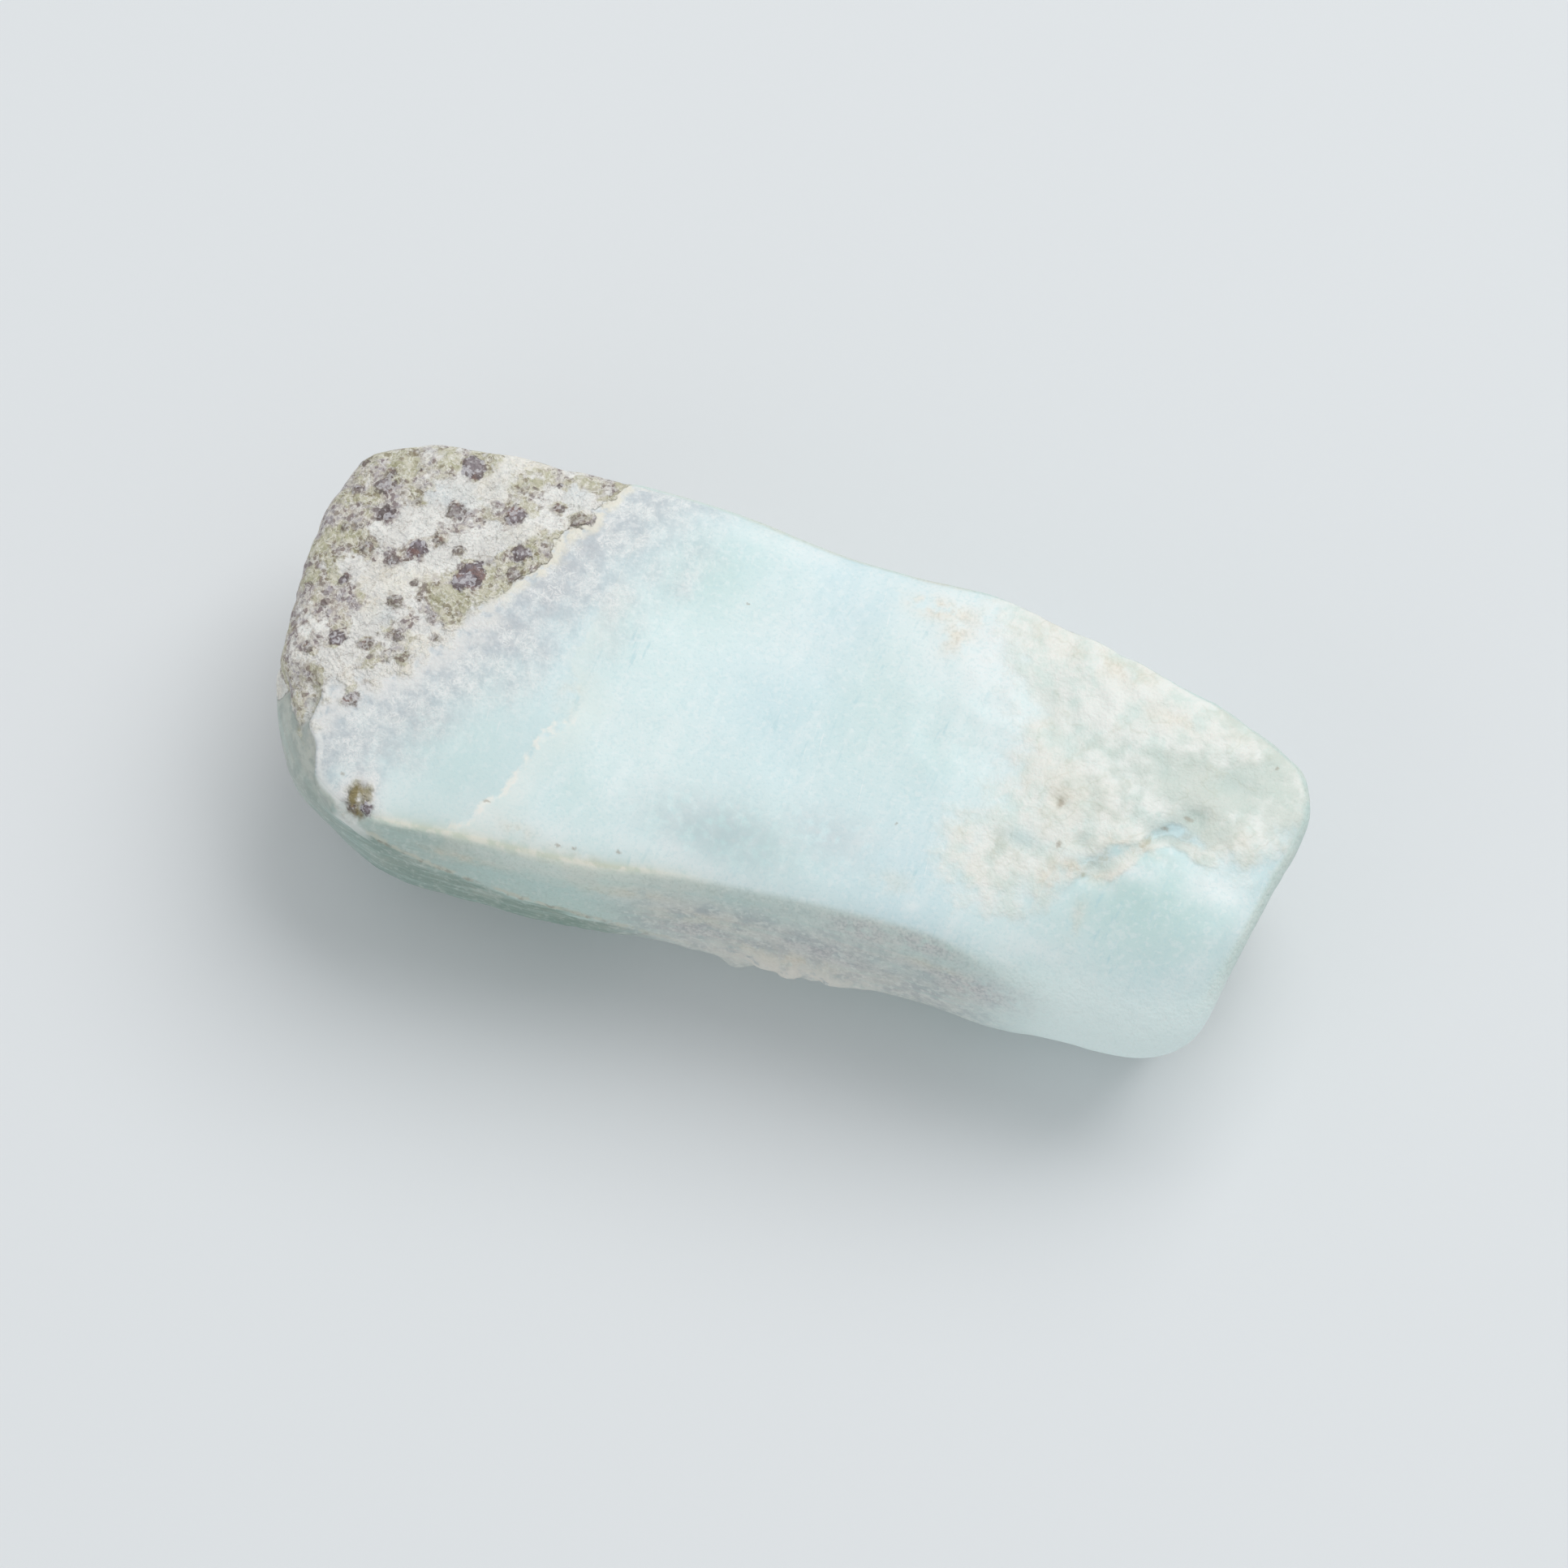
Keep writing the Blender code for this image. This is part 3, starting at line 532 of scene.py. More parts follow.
marks = {
    "aqua": clouded("aqua", skin, wall, 6.0, 90) * ease(layered_noise(skin, 2.4, 124), -1.2, 0.3),
    "teal_and_shade": clouded("teal_and_shade", skin, wall, 5.0, 127) * show_face,
    "milk": clouded("milk", skin, wall, 5.0, 93),
    "lilac": clouded("lilac", skin, wall, 7.0, 99),
    "tan": clouded("tan", skin, wall, 4.0, 96) * (1 - 0.6 * wall * (1 - front)),
    "sky": ease(layered_noise(skin, 6.5, 103), -0.5, 0.5),
    "fibrous": ease(layered_noise(skin, 4.0, 106), -0.3, 0.4),
    "hairy": ease(layered_noise(skin, 3.0, 109), -0.1, 0.5),
    "white": layered_noise(skin, 0.9, 112),
    "warm": layered_noise(skin, 1.7, 115) + 0.3,
    "dingy": layered_noise(skin, 2.0, 118) + 0.2 + mounds(skin, DINGY_PLACES),
    "fringe": crust + 1.6 * layered_noise(skin, 1.6, 121),
}


# The finished mesh
# All the relief is added along the surface's own directions, the foot is sawn off flat, and the
# stone is set over the solid's box. Each mark is kept on the mesh for the finish to read.

MM = 0.001
SAW_CUT, FOOT_FADE = 0.3, (0.2, 1.6)
UNEVEN_HEIGHT, UNEVEN_SIZE, FINE_HEIGHT, FINE_SIZE = 0.28, 9.0, 0.02, 1.6

height = UNEVEN_HEIGHT * layered_noise(skin, UNEVEN_SIZE, 10)
height += crust_height + rough_height + front_height + flake_height + corner_height
height += FINE_HEIGHT * layered_noise(skin, FINE_SIZE, 60)
height *= ease(skin[:, 2], *FOOT_FADE)
surface = skin + facing * height[:, None]
surface[:, 2] = np.maximum(surface[:, 2], SAW_CUT) - SAW_CUT
middle = (surface.min(axis=0) + surface.max(axis=0)) / 2
solid_low, solid_high = (np.array(corner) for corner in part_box("larimar_stone"))
place = (solid_low + solid_high) / 2 - middle * MM
surface = surface * MM + place * (1, 1, 0)

stone_mesh = bpy.data.meshes.new("rough_larimar")
stone_mesh.from_pydata(surface, [], quads)
stone_mesh.shade_smooth()
# How sunken each point lies in the relief: the finish paints shade there on the cream and the crust.
hollow = -(crust_height + rough_height + wall_rough * front)
marks.update({
    "crust": crust, "crystal": crystal, "tone": crystal_tone, "olive": olive, "patch": patch,
    "cream": cream, "crevice": np.abs(cream_mm) + 4 * (1 - opened), "flake": flake,
    "flake_sharp": flake_sharp, "wall": wall, "below": below, "banded": banded,
    "granular": granular, "left_end": ease(-skin[:, 0] + layered_noise(skin, 2.5, 57), 15.5, 18.5),
    "rim_cream": rim_cream, "lip": lip / LIP_HEIGHT, "hollow": hollow, "bitten": bitten,
    # The right front slope, lightened there as painted light, where the wall's grain also thins out.
    "to_right": ease(skin[:, 0], 9, 15) * ease(-skin[:, 1], 4.0, 7.5),
    "corner": corner, "corner_reach": corner_reach, "corner_grain": ease(-from_patch, -1.1, -0.6),
    "soft_edge": ease(-skin[:, 1], -1.5, 1.5) * show_face,
    "shaded": 1 - ease(skin[:, 0], -15, -6),
    "sawn": (surface[:, 2] < 0.01 * MM).astype(float),
})
for name, values in marks.items():
    stone_mesh.attributes.new(name, "FLOAT", "POINT").data.foreach_set("value", values)
stone = bpy.data.objects.new("rough_larimar", stone_mesh)
bpy.context.scene.collection.objects.link(stone)
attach(stone, "root")
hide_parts("larimar_stone")


# The larimar's finish
# Worn larimar is waxy and softly glossy, a little translucent, and streaked by fine fibres. The
# crust is dull and granular, and the broken and rough parts are chalkier than the worn blue.

finish = bpy.data.materials.new("worn_larimar")
finish.use_nodes = True
nodes, links = finish.node_tree.nodes, finish.node_tree.links
shader = nodes["Principled BSDF"]


def tint(red, green, blue):
    """A colour as seen on a screen, 0 to 255, as the linear light that the shader takes."""
    seen = np.array([red, green, blue]) / 255
    linear = np.where(seen <= 0.04045, seen / 12.92, ((seen + 0.055) / 1.055) ** 2.4)
    return (*linear, 1.0)


def node(kind, inputs, **settings):
    """A new node with its settings made and its inputs joined or set."""
    made = nodes.new(kind)
    for name, value in settings.items():
        setattr(made, name, value)
    for key, value in inputs.items():
        if isinstance(value, bpy.types.NodeSocket):
            links.new(value, made.inputs[key])
        else:
            made.inputs[key].default_value = value
    return made


def math(operation, first, second=0.0):
    """What the named operation makes of one or two values."""
    return node("ShaderNodeMath", {0: first, 1: second}, operation=operation).outputs[0]


def times(first, *others):
    """The product of two or more values."""
    for other in others:
        first = math("MULTIPLY", first, other)
    return first


def plus(first, second):
    """The sum of two values."""
    return math("ADD", first, second)


def mix(share, below, above):
    """The colour below, covered by the one above to the given share."""
    return node("ShaderNodeMix", {0: share, 6: below, 7: above}, data_type="RGBA").outputs[2]


def layers(base, *covers):
    """The base colour under each cover in turn, given as its share and its colour."""
    for share, colour in covers:
        base = mix(share, base, colour)
    return base


def rise(value, start, end):
    """0 below start, 1 above end, and an S curve between them."""
    inputs = {"Value": value, "From Min": start, "From Max": end}
    return node("ShaderNodeMapRange", inputs, interpolation_type="SMOOTHSTEP").outputs[0]


def fall(value, start, end):
    """1 below start, 0 above end, and an S curve between them."""
    inputs = {"Value": value, "From Min": start, "From Max": end, "To Min": 1.0, "To Max": 0.0}
    return node("ShaderNodeMapRange", inputs, interpolation_type="SMOOTHSTEP").outputs[0]


def near(value, middle, start, end):
    """1 within start of the middle, 0 past end from it, and an S curve between them."""
    return fall(math("ABSOLUTE", math("SUBTRACT", value, middle)), start, end)


def mark(name):
    """A mark that the mesh carries."""
    return node("ShaderNodeAttribute", {}, attribute_name=name).outputs["Fac"]


def stretched(size, turn, shift):
    """The place in lumps of the given size in mm, one number or three, turned about Z."""
    sizes = size if isinstance(size, tuple) else (size,) * 3
    inputs = {"Vector": place_mm, "Location": (shift,) * 3, "Rotation": (0, 0, np.radians(turn)),
              "Scale": sizes}
    return node("ShaderNodeMapping", inputs, vector_type="TEXTURE").outputs[0]


def grain(size, detail=3.0, turn=0.0, shift=0.0):
    """Noise from 0 to 1, about 0.5, with lumps of the given size in millimetres."""
    inputs = {"Vector": stretched(size, turn, shift), "Scale": 1.0, "Detail": detail}
    return node("ShaderNodeTexNoise", inputs).outputs["Fac"]


def swing(noise, reach):
    """Noise about 0.5 as a value that swings about 0 by up to the given reach."""
    return times(math("SUBTRACT", noise, 0.5), 2 * reach)


def cells(size, shift):
    """Grains of the given size in mm with uneven edges."""
    push = node("ShaderNodeTexNoise", {"Vector": stretched(size * 0.8, 0, shift), "Scale": 1.0})
    at = node("ShaderNodeVectorMath", {0: push.outputs["Color"], 1: (0.7, 0.7, 0.7),
                                       2: stretched(size, 0, shift)}, operation="MULTIPLY_ADD")
    return node("ShaderNodeTexVoronoi", {"Vector": at.outputs[0], "Scale": 1.0})


place_mm = node("ShaderNodeVectorMath",
                {0: node("ShaderNodeTexCoord", {}).outputs["Object"], "Scale": 1 / MM},
                operation="SCALE").outputs[0]
fine, speckle, sugar = grain(0.55, 3.0), grain(0.15, 1.0, shift=7.0), grain(0.28, 3.0, shift=9.0)
mottled = grain(0.8, 4.0, shift=64.0)

# The blue body, from pale sky blue to aqua, with teal fibres and white hairs along Y.
PALE_BLUE, SKY_BLUE, AQUA = tint(219, 236, 236), tint(208, 230, 235), tint(199, 225, 222)
MILK, LILAC, TEAL = tint(238, 244, 243), tint(190, 194, 198), tint(184, 217, 222)
fibres = rise(grain((0.32, 1.9, 0.8), 3.0, -6, 5.0), 0.60, 0.74)
haze = rise(grain((0.9, 3.2, 1.5), 4.0, -10, 19.0), 0.48, 0.72)
hairs = rise(grain((0.10, 2.4, 0.6), 2.0, 5, 23.0), 0.66, 0.76)
body = layers(
    mix(mark("sky"), PALE_BLUE, SKY_BLUE),
    (mark("aqua"), AQUA),
    (times(fibres, mark("fibrous"), 0.6), TEAL),
    (times(haze, 0.32), MILK),
    (times(hairs, mark("hairy"), 0.7), MILK),
    (times(mark("milk"), rise(mottled, 0.1, 0.56)), MILK),
    (times(rise(sugar, 0.52, 0.66), 0.30), MILK),
    (times(fall(speckle, 0.32, 0.48), 0.22), TEAL))

# The flaked patch: bluer on its left, with a ragged white edge.
FLAKE_BLUE, FLAKE_PALE, FLAKE_WHITE = tint(200, 221, 221), tint(226, 236, 231), tint(245, 244, 236)
flake_mm = plus(mark("flake"), swing(sugar, 0.35))
left_of_flake = times(fall(flake_mm, -0.1, 0.15), rise(flake_mm, -5.0, -0.5), mark("flake_sharp"))
right_of_flake = times(rise(flake_mm, 0.0, 0.2), fall(flake_mm, 0.3, 1.8))
flake_line = times(fall(math("ABSOLUTE", flake_mm), 0.03, 0.28), rise(mottled, 0.38, 0.55))
body = layers(
    body,
    (times(left_of_flake, 0.35), FLAKE_BLUE),
    (times(right_of_flake, 0.5), FLAKE_PALE),
    (times(flake_line, mark("flake_sharp"), 0.85), FLAKE_WHITE))

# The fringe of the vein against the crust: grey white, felted with short white fibres.
FRINGE_GREY, FRINGE_PALE, FRINGE_WHITE = tint(196, 201, 205), tint(221, 223, 222), tint(240, 240, 238)
FRINGE_SHADE, FELT_WHITE = tint(186, 190, 195), tint(242, 242, 240)
RIM_WARM, RIM_GREY = tint(237, 232, 216), tint(232, 231, 228)
crust_mm = plus(mark("crust"), swing(fine, 0.45))
fringe_mm = plus(mark("fringe"), swing(grain((0.5, 1.6, 1.0), 4.0, 20, 38.0), 0.8))
fringe_share = times(rise(fringe_mm, -5.4, -0.9), fall(mark("wall"), 0.3, 0.7))
fringe_colour = layers(
    mix(rise(mottled, 0.38, 0.62), FRINGE_GREY, FRINGE_PALE),
    (times(rise(sugar, 0.48, 0.62), 0.4), FRINGE_WHITE),
    (times(fall(speckle, 0.36, 0.5), 0.4), FRINGE_SHADE))
lilac_share = times(mark("lilac"), rise(fine, 0.3, 0.56))
felt = node("ShaderNodeTexNoise", {"Vector": stretched(0.42, 0, 35.0), "Scale": 1.0, "Detail": 1.5,
                                   "Distortion": 2.2}).outputs["Fac"]
felt = times(near(felt, 0.5, 0.0, 0.07), rise(mottled, 0.42, 0.56))
white_rim = rise(crust_mm, math("SUBTRACT", -0.6, mark("soft_edge")), -0.1)
white_rim = times(white_rim, rise(fine, 0.32, 0.5))
body = layers(
    body,
    (times(fringe_share, 0.85), fringe_colour),
    (times(lilac_share, 0.8), LILAC),
    (times(felt, fringe_share, 0.7), FELT_WHITE),
    (times(white_rim, 0.8), mix(mark("soft_edge"), RIM_WARM, RIM_GREY)))

# The cream end: chalky lumps over green-grey larimar, with painted shade in the hollows of its relief,
# a brown line along the crevice, and darker aqua below it that is partly painted shade.
CREAM_WHITE, CREAM_WARM, CREAM_GREEN = tint(238, 239, 233), tint(232, 227, 215), tint(219, 230, 223)
CREAM_GREY, CREAM_HOLLOW_SHADE, SEAM_OLIVE = tint(200, 209, 198), tint(192, 208, 201), tint(186, 188, 164)
CREVICE_BROWN, POCKET_AQUA_AND_SHADE = tint(190, 184, 158), tint(182, 207, 210)
lumps = rise(plus(swing(grain(1.0, 3.0, shift=41.0), 1.0), swing(sugar, 0.25)), -0.36, 0.2)
warm_share = rise(plus(mark("warm"), swing(fine, 0.5)), 0.2, 1.0)
dingy_share = rise(plus(mark("dingy"), swing(fine, 0.7)), 0.1, 0.8)
seams = near(grain(1.6, 2.5, shift=52.0), 0.5, 0.0, 0.03)
seams = times(seams, rise(plus(mark("warm"), swing(mottled, 1.0)), 0.1, 0.5))
cream_colour = layers(
    mix(lumps, CREAM_GREEN, CREAM_WHITE),
    (times(warm_share, 0.6), CREAM_WARM),
    (times(dingy_share, 0.65), CREAM_GREY),
    # Painted shade in the hollows of the relief.
    (times(rise(mark("hollow"), 0.04, 0.3), 0.5), CREAM_HOLLOW_SHADE),
    (times(seams, 0.2), SEAM_OLIVE))
cream_share = rise(plus(mark("cream"), swing(mottled, 0.5)), 0.2, 0.75)
crevice_mm = plus(mark("crevice"), swing(sugar, 0.3))
crevice_line = times(fall(crevice_mm, 0.05, 0.3), rise(fine, 0.40, 0.6))
body = layers(
    body,
    (times(cream_share, 0.9), cream_colour),
    (times(crevice_line, 0.55), CREVICE_BROWN),
    # Darker aqua in the pockets under the crevice and at the front rim: partly the stone's aqua, partly
    # painted shade.
    (times(mark("teal_and_shade"), rise(mottled, 0.2, 0.5)), POCKET_AQUA_AND_SHADE))

# The walls: greener and greyer than the worn face, in bands along the front, with a granular
# stretch and a beige lip at its middle. Under the ledge the dark green bands are partly painted
# shade of the undercut, darkest towards the foot, and the wall's left end carries more painted shade.
OLIVE_BAND, BLUE_BAND, DARK_BAND_AND_SHADE = tint(216, 227, 217), tint(192, 213, 206), tint(122, 147, 134)
FOOT_BAND_AND_SHADE, SHADED_BAND, WALL_STREAK = tint(114, 145, 135), tint(142, 158, 150), tint(190, 214, 208)
WALL_BLUE, WALL_GREEN = tint(199, 219, 214), tint(213, 223, 216)
END_GREY, END_PALE = tint(168, 176, 170), tint(186, 191, 184)
GRANULE_GREY, GRANULE_PALE = tint(168, 170, 173), tint(203, 202, 198)
GRANULE_WHITE, LIP_BEIGE = tint(228, 226, 221), tint(228, 223, 213)
WALL_WARM, WALL_AQUA, WALL_MILK = tint(214, 212, 200), tint(190, 216, 213), tint(226, 233, 229)
WALL_SUGAR, WALL_SHADE, RIGHT_PAINTED_LIGHT = tint(222, 228, 222), tint(146, 158, 148), tint(234, 249, 247)
PINK_GREY, PINK_PALE = tint(178, 174, 178), tint(214, 207, 206)
LEDGE_BROWN, LEDGE_PALE = tint(154, 142, 122), tint(202, 200, 182)
RIM_OLIVE, RIM_CREAM = tint(214, 220, 200), tint(240, 236, 220)
below_mm = plus(mark("below"), swing(grain((2.4, 2.4, 0.5), 3.0, 0, 47.0), 0.9))
# Painted shade over the wall's own greens: darker under the ledge and towards the foot, and at the left
# end.
bands = layers(
    mix(rise(below_mm, -2.6, -1.2), OLIVE_BAND, BLUE_BAND),
    (rise(below_mm, 0.1, 0.5), DARK_BAND_AND_SHADE),
    (rise(below_mm, 2.0, 5.0), FOOT_BAND_AND_SHADE),
    (times(mark("shaded"), 0.5), SHADED_BAND))
granules = layers(
    mix(rise(mottled, 0.38, 0.60), GRANULE_GREY, GRANULE_PALE),
    (times(rise(sugar, 0.5, 0.64), 0.5), GRANULE_WHITE))
streaks = rise(grain((3.0, 3.0, 0.3), 4.0, 0, 48.0), 0.47, 0.62)
wall_grain = math("SUBTRACT", 1.0, times(mark("to_right"), 0.8))
ledge_line = near(plus(mark("below"), swing(fine, 0.3)), 0.1, 0.03, 0.24)
ledge_line = times(ledge_line, mark("banded"), rise(mottled, 0.34, 0.5))
wall_colour = layers(
    mix(mark("sky"), WALL_BLUE, WALL_GREEN),
    (mark("left_end"), mix(rise(mottled, 0.36, 0.64), END_GREY, END_PALE)),
    (mark("banded"), bands),
    (times(mark("granular"), 0.75), granules),
    (times(streaks, 0.3), WALL_STREAK),
    (times(warm_share, 0.35), WALL_WARM),
    (times(mark("aqua"), 0.6), WALL_AQUA),
    (times(mark("milk"), rise(mottled, 0.2, 0.6), 0.7), WALL_MILK),
    # Painted light: the right front slope is lightened against the shade it lies in.
    (mark("to_right"), RIGHT_PAINTED_LIGHT),
    (times(lilac_share, 0.7), mix(rise(speckle, 0.42, 0.58), PINK_GREY, PINK_PALE)),
    (times(rise(sugar, 0.52, 0.66), wall_grain, 0.25), WALL_SUGAR),
    (times(fall(speckle, 0.34, 0.46), wall_grain, 0.14), WALL_SHADE),
    (times(mark("lip"), rise(fine, 0.3, 0.5)), LIP_BEIGE),
    (times(ledge_line, 0.65), mix(rise(fine, 0.40, 0.5), LEDGE_BROWN, LEDGE_PALE)))
unbroken = math("SUBTRACT", 1.0, times(mark("bitten"), 0.45))
wall_share = times(rise(mark("wall"), 0.15, 0.85), unbroken)
body = layers(
    body,
    (times(wall_share, 0.92), wall_colour),
    (times(mark("rim_cream"), 0.85), mix(rise(fine, 0.4, 0.6), RIM_OLIVE, RIM_CREAM)))

# The left corner's ledge: a grey step under a white rim.
STEP_GREY, STEP_PALE, STEP_RIM = tint(172, 180, 173), tint(196, 200, 191), tint(240, 241, 238)
step_share = times(rise(mark("corner"), 0.0, 0.15), mark("corner_reach"), 0.85)
rim_line = fall(math("ABSOLUTE", plus(mark("corner"), 0.15)), 0.03, 0.2)
body = layers(
    body,
    (step_share, mix(rise(fine, 0.4, 0.6), STEP_GREY, STEP_PALE)),
    (times(rim_line, mark("corner_reach"), 0.6), STEP_RIM))

# Tan stains, and brown specks about 0.2 mm across, whose edges a noise pushes about.
TAN, TAN_PALE, SPECK_BROWN = tint(214, 196, 168), tint(233, 219, 197), tint(146, 128, 104)
SPECK_PUSH = 0.24
tan_share = times(mark("tan"), rise(mottled, 0.3, 0.6))
push = node("ShaderNodeTexNoise", {"Vector": stretched(0.15, 0, 63.0), "Scale": 1.0})
pushed_place = node("ShaderNodeVectorMath", {0: push.outputs["Color"], 1: (SPECK_PUSH,) * 3,
                                             2: place_mm}, operation="MULTIPLY_ADD").outputs[0]
specks = 0.0
for x, y, wide, deep in SPECKS:
    spot = tuple(np.array([x + SPECK_PUSH / 2, y + SPECK_PUSH / 2, 0.0]) + place / MM)
    off = node("ShaderNodeVectorMath", {0: pushed_place, 1: spot}, operation="SUBTRACT").outputs[0]
    off = node("ShaderNodeVectorMath", {0: off, 1: (1 / wide, 1 / deep, 0)},
               operation="MULTIPLY").outputs[0]
    off = node("ShaderNodeVectorMath", {0: off}, operation="LENGTH").outputs["Value"]
    specks = math("MAXIMUM", specks, fall(off, 0.2, 2.0))
specks = times(specks, fall(mark("wall"), 0.7, 0.9))
body = layers(
    body,
    (times(tan_share, 0.75), mix(rise(speckle, 0.42, 0.56), TAN, TAN_PALE)),
    (times(specks, 0.5), SPECK_BROWN))

# The crust's rock: white cement laced through grains of olive and purple grey, and the crystals.
CEMENT, CEMENT_WHITE, CEMENT_GREY = tint(225, 223, 218), tint(242, 241, 236), tint(201, 201, 200)
CEMENT_WARM, CEMENT_BLUE, LACE_WHITE = tint(228, 217, 192), tint(208, 216, 219), tint(242, 240, 234)
OLIVE_GREEN, OLIVE_PALE, OLIVE_BROWN = tint(167, 164, 130), tint(199, 196, 172), tint(130, 115, 92)
GREY_LILAC, GREY_BROWN, GRAIN_BROWN = tint(177, 171, 176), tint(184, 173, 163), tint(122, 104, 100)
GRAIN_WHITE, CRACK_BROWN, CRUST_SHADE = tint(224, 219, 205), tint(148, 134, 118), tint(160, 152, 136)
PURPLE, PURPLE_DARK, FROST = tint(132, 121, 130), tint(86, 70, 74), tint(204, 202, 208)
RED_BROWN, CORNER_OLIVE = tint(130, 96, 90), tint(142, 130, 92)
small_grains, tiny_grains = cells(0.5, 67.0), cells(0.2, 71.0)
small_kind = node("ShaderNodeSeparateColor", {0: small_grains.outputs["Color"]}).outputs
tiny_kind = node("ShaderNodeSeparateColor", {0: tiny_grains.outputs["Color"]}).outputs
cement = layers(
    mix(rise(mark("white"), -0.3, 0.3), CEMENT, CEMENT_WHITE),
    (times(rise(plus(mark("warm"), swing(fine, 0.5)), 0.2, 0.9), 0.4), CEMENT_WARM),
    (times(rise(plus(mark("dingy"), swing(fine, 0.5)), 0.3, 0.9), 0.5), CEMENT_BLUE),
    (times(fall(plus(swing(speckle, 1.0), tiny_kind[1]), 0.1, 0.5), 0.4), CEMENT_GREY))
is_olive = rise(plus(mark("olive"), swing(mottled, 1.6)), -0.35, 0.35)
pale_grains = rise(plus(tiny_kind[0], swing(sugar, 0.9)), 0.45, 0.85)
dark_grains = fall(plus(tiny_kind[0], swing(mottled, 0.9)), 0.08, 0.28)
grains = layers(
    mix(is_olive, mix(rise(mottled, 0.36, 0.64), GREY_LILAC, GREY_BROWN),
        mix(rise(fine, 0.34, 0.64), OLIVE_GREEN, OLIVE_PALE)),
    (times(pale_grains, 0.55), GRAIN_WHITE),
    (times(dark_grains, 0.7), mix(is_olive, GRAIN_BROWN, OLIVE_BROWN)))
patch_mm = plus(mark("patch"), plus(swing(fine, 1.1), swing(sugar, 0.6)))
patch_share = rise(patch_mm, -0.3, 0.2)
small = times(rise(small_kind[1], 0.78, 0.82), fall(small_grains.outputs["Distance"], 0.15, 0.45))
tiny = times(rise(tiny_kind[2], 0.88, 0.92), fall(tiny_grains.outputs["Distance"], 0.15, 0.4))
lace = grain(0.42, 4.0, shift=61.0)
rock = layers(
    cement,
    (times(patch_share, 0.95), grains),
    (times(small, patch_share, 0.7), mix(small_kind[2], PURPLE_DARK, OLIVE_BROWN)),
    (times(tiny, plus(times(patch_share, 0.35), 0.12)), GRAIN_BROWN),
    (times(near(lace, 0.5, 0.0, 0.035), 0.6), LACE_WHITE),
    (times(near(lace, 0.42, 0.0, 0.018), 0.45), CRACK_BROWN),
    # Painted shade in the hollows of the crust's relief.
    (times(rise(mark("hollow"), 0.15, 0.45), 0.25), CRUST_SHADE),
    (times(mark("corner_grain"), rise(fine, 0.26, 0.5)), CORNER_OLIVE))
crystal_mm = plus(mark("crystal"), plus(swing(sugar, 0.26), swing(fine, 0.2)))
deep_inside = rise(times(crystal_mm, -1.0), 0.06, 0.24)
frosted = rise(plus(tiny_kind[1], swing(speckle, 0.8)), 0.56, 0.8)
crystal_colour = layers(
    mix(times(deep_inside, rise(mottled, 0.36, 0.5)), PURPLE_DARK, PURPLE),
    (times(rise(fine, 0.52, 0.64), 0.75), RED_BROWN),
    (times(frosted, 0.7), FROST),
    (times(mark("tone"), 0.75), mix(rise(speckle, 0.4, 0.55), OLIVE_BROWN, OLIVE_PALE)))
crystal_share = times(fall(crystal_mm, -0.08, 0.06), rise(mark("crust"), -1.8, -0.8))
rock_share = rise(plus(crust_mm, times(swing(mottled, 2.2), mark("soft_edge"))),
                  times(mark("soft_edge"), -0.4), plus(0.15, mark("soft_edge")))

# Saw marks on the underside: lines across the cut, about 0.3 mm apart.
SAWN_WHITE = tint(236, 240, 238)
saw_lines = node("ShaderNodeTexWave", {"Vector": stretched(0.5, 12, 0.0), "Scale": 0.5,
                                       "Distortion": 1.5, "Detail": 1.0})
saw_lines = times(saw_lines.outputs["Fac"], mark("sawn"))
colour = layers(
    body,
    (rock_share, rock),
    (times(crystal_share, 0.92), crystal_colour),
    (times(saw_lines, 0.25), SAWN_WHITE))

# Gloss and grain: the rock is dullest and coarsest, then the walls, the fringe and the cream.
dull = math("MAXIMUM", rock_share, times(cream_share, 0.5))
dull = math("MAXIMUM", dull, times(wall_share, 0.7))
dull = math("MAXIMUM", dull, times(fringe_share, 0.5))
roughness = plus(times(dull, 0.32), swing(fine, 0.12))
roughness = math("SUBTRACT", plus(roughness, 0.44), times(crystal_share, 0.25))
roughest = plus(dull, plus(rock_share, times(cream_share, 0.15)))
coarse = times(fine, plus(times(roughest, 0.10), 0.012))
grit = times(speckle, plus(times(roughest, 0.05), 0.004))
texture = plus(plus(coarse, grit), times(saw_lines, 0.03))
bump = node("ShaderNodeBump", {"Strength": 1.0, "Distance": MM, "Height": texture})
links.new(colour, shader.inputs["Base Color"])
links.new(roughness, shader.inputs["Roughness"])
links.new(bump.outputs["Normal"], shader.inputs["Normal"])
shader.inputs["IOR"].default_value = 1.55
shader.inputs["Subsurface Weight"].default_value = 0.12
shader.inputs["Subsurface Radius"].default_value = (0.8, 1.0, 1.0)
shader.inputs["Subsurface Scale"].default_value = 0.8 * MM
stone_mesh.materials.append(finish)


# The floor
# A plain pale studio surface, wide enough to fill every view behind the stone.

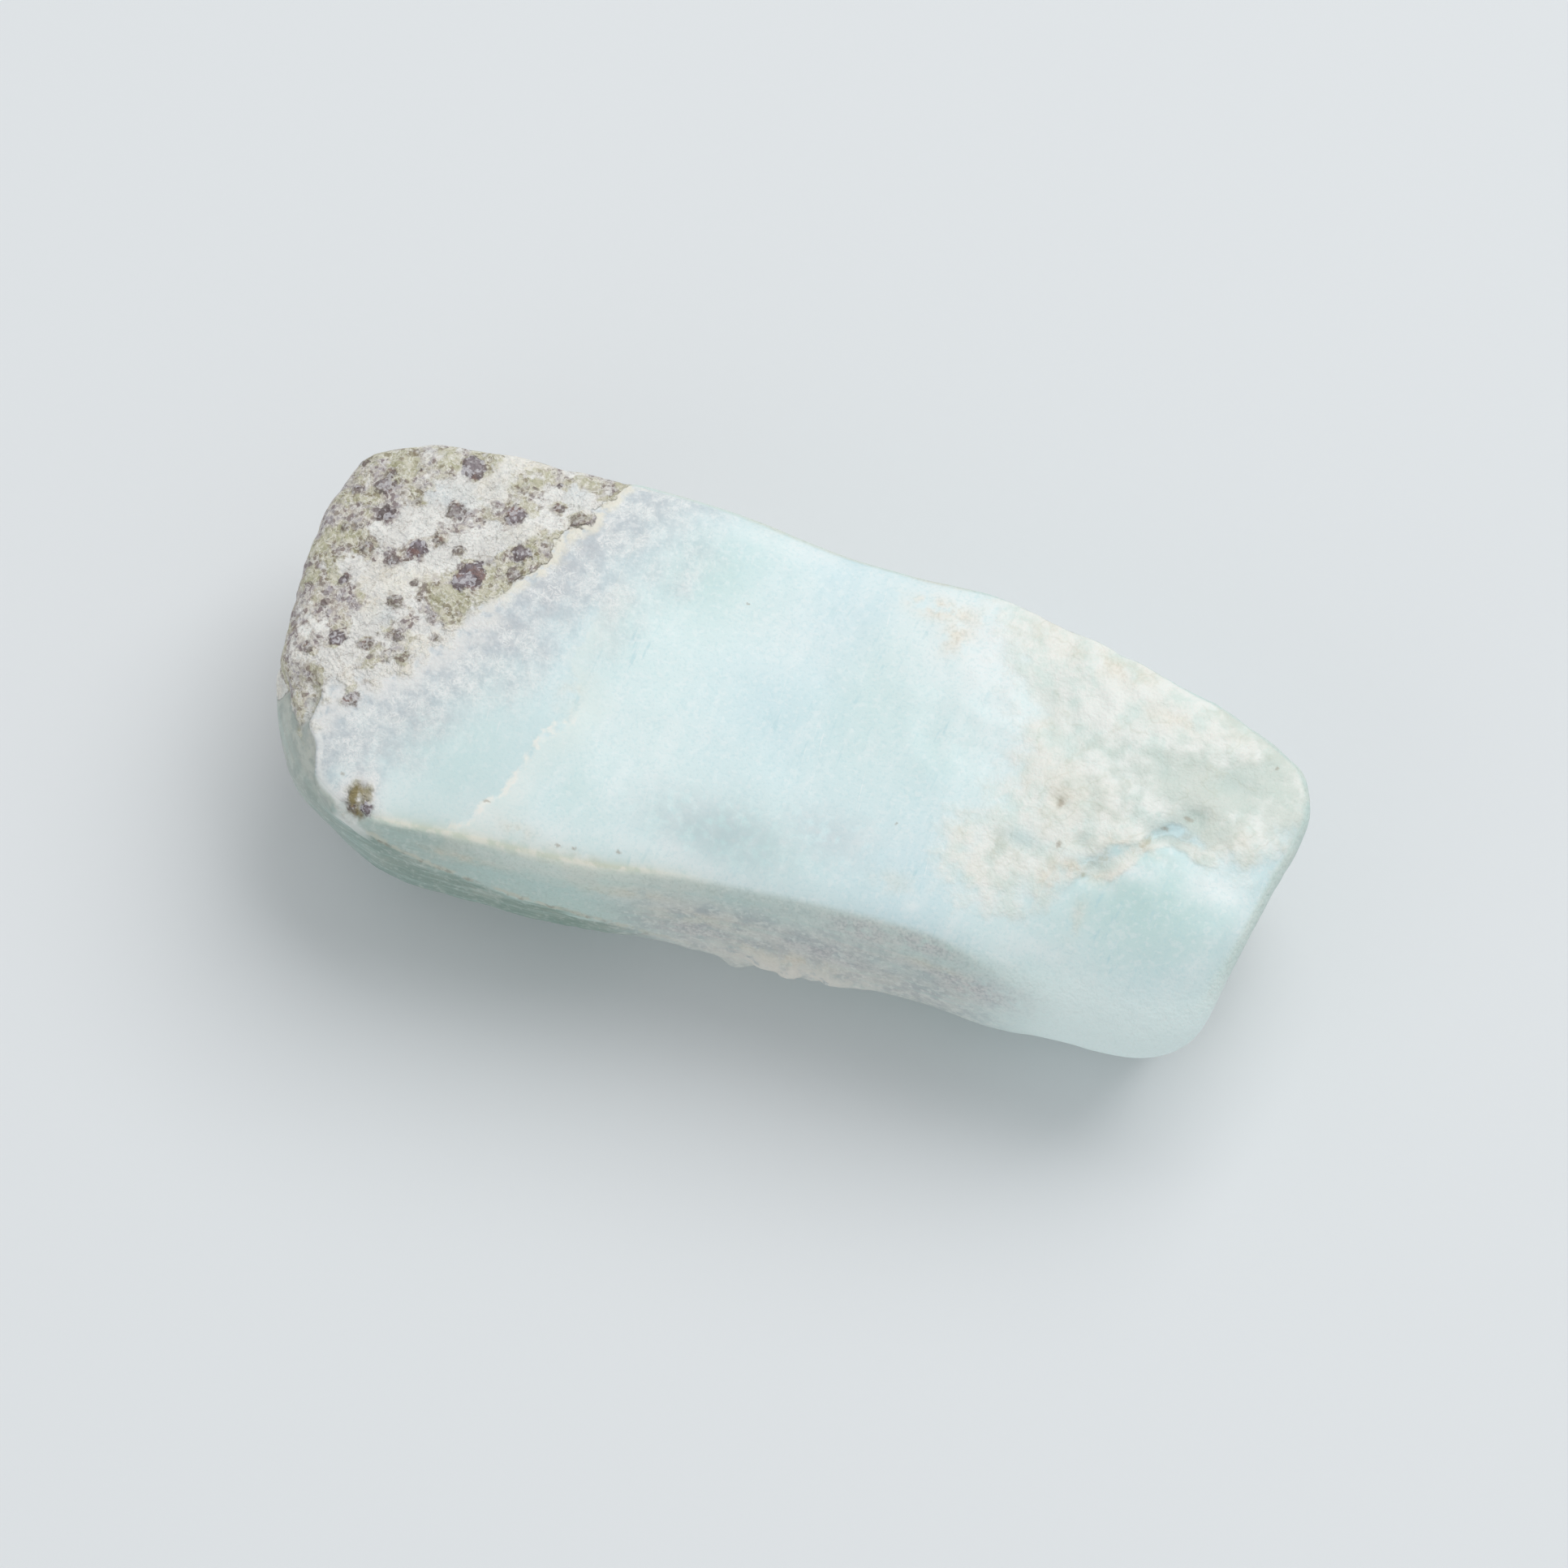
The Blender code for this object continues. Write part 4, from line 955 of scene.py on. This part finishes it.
FLOOR_HALF, FLOOR_GAP, FLOOR_GREY = 3.0, 0.00005, tint(226, 229, 231)
floor_mesh = bpy.data.meshes.new("floor")
floor_mesh.from_pydata([(x * FLOOR_HALF, y * FLOOR_HALF, -FLOOR_GAP)
                        for x, y in ((-1, -1), (1, -1), (1, 1), (-1, 1))], [], [(0, 1, 2, 3)])
floor = bpy.data.objects.new("floor", floor_mesh)
bpy.context.scene.collection.objects.link(floor)
floor_finish = bpy.data.materials.new("pale_floor")
floor_finish.use_nodes = True
floor_shader = floor_finish.node_tree.nodes["Principled BSDF"]
floor_shader.inputs["Base Color"].default_value = FLOOR_GREY
floor_shader.inputs["Roughness"].default_value = 0.7
floor_mesh.materials.append(floor_finish)


# Studio light
# A large soft window light above and behind the stone, a weaker one at the front, and a bright
# even room, so that the show face is evenly lit and the front wall lies in soft shade.

LIGHTS = [("window", (0.22, 0.50, 0.80), 0.75, 5.0), ("front_fill", (-0.35, -0.7, 0.5), 0.7, 0.6)]
for name, spot, size, power in LIGHTS:
    lamp = bpy.data.lights.new(name, "AREA")
    lamp.size, lamp.energy = size, power
    light = bpy.data.objects.new(name, lamp)
    light.location = spot
    light.rotation_euler = (np.arctan2(np.hypot(spot[0], spot[1]), spot[2]), 0,
                            np.arctan2(spot[0], -spot[1]))
    bpy.context.scene.collection.objects.link(light)

room = bpy.data.worlds.new("room")
room.use_nodes = True
room.node_tree.nodes["Background"].inputs["Color"].default_value = (0.96, 0.985, 1.0, 1)
room.node_tree.nodes["Background"].inputs["Strength"].default_value = 0.57
bpy.context.scene.world = room
bpy.context.scene.view_settings.view_transform = "Standard"


# The camera
# It looks down on the show face from the front and a little to the right, as the photograph
# does, from about half a metre, with the stone across two thirds of the frame.

AZIMUTH, ELEVATION, DISTANCE = np.radians(19), np.radians(68), 0.56
SENSOR, STONE_SHARE, STONE_ACROSS = 36.0, 0.66, 0.0443
camera_data = bpy.data.cameras.new("camera")
camera_data.sensor_width = SENSOR
camera_data.lens = SENSOR * DISTANCE * STONE_SHARE / STONE_ACROSS
camera_data.clip_start, camera_data.clip_end = 0.01, 10.0
camera = bpy.data.objects.new("camera", camera_data)
aim = np.array([0.0, 0.0, 0.006])
back = np.array([np.sin(AZIMUTH) * np.cos(ELEVATION), -np.cos(AZIMUTH) * np.cos(ELEVATION),
                 np.sin(ELEVATION)])
camera.location = aim + back * DISTANCE
camera.rotation_euler = (np.pi / 2 - ELEVATION, 0, AZIMUTH)
bpy.context.scene.collection.objects.link(camera)
bpy.context.scene.camera = camera
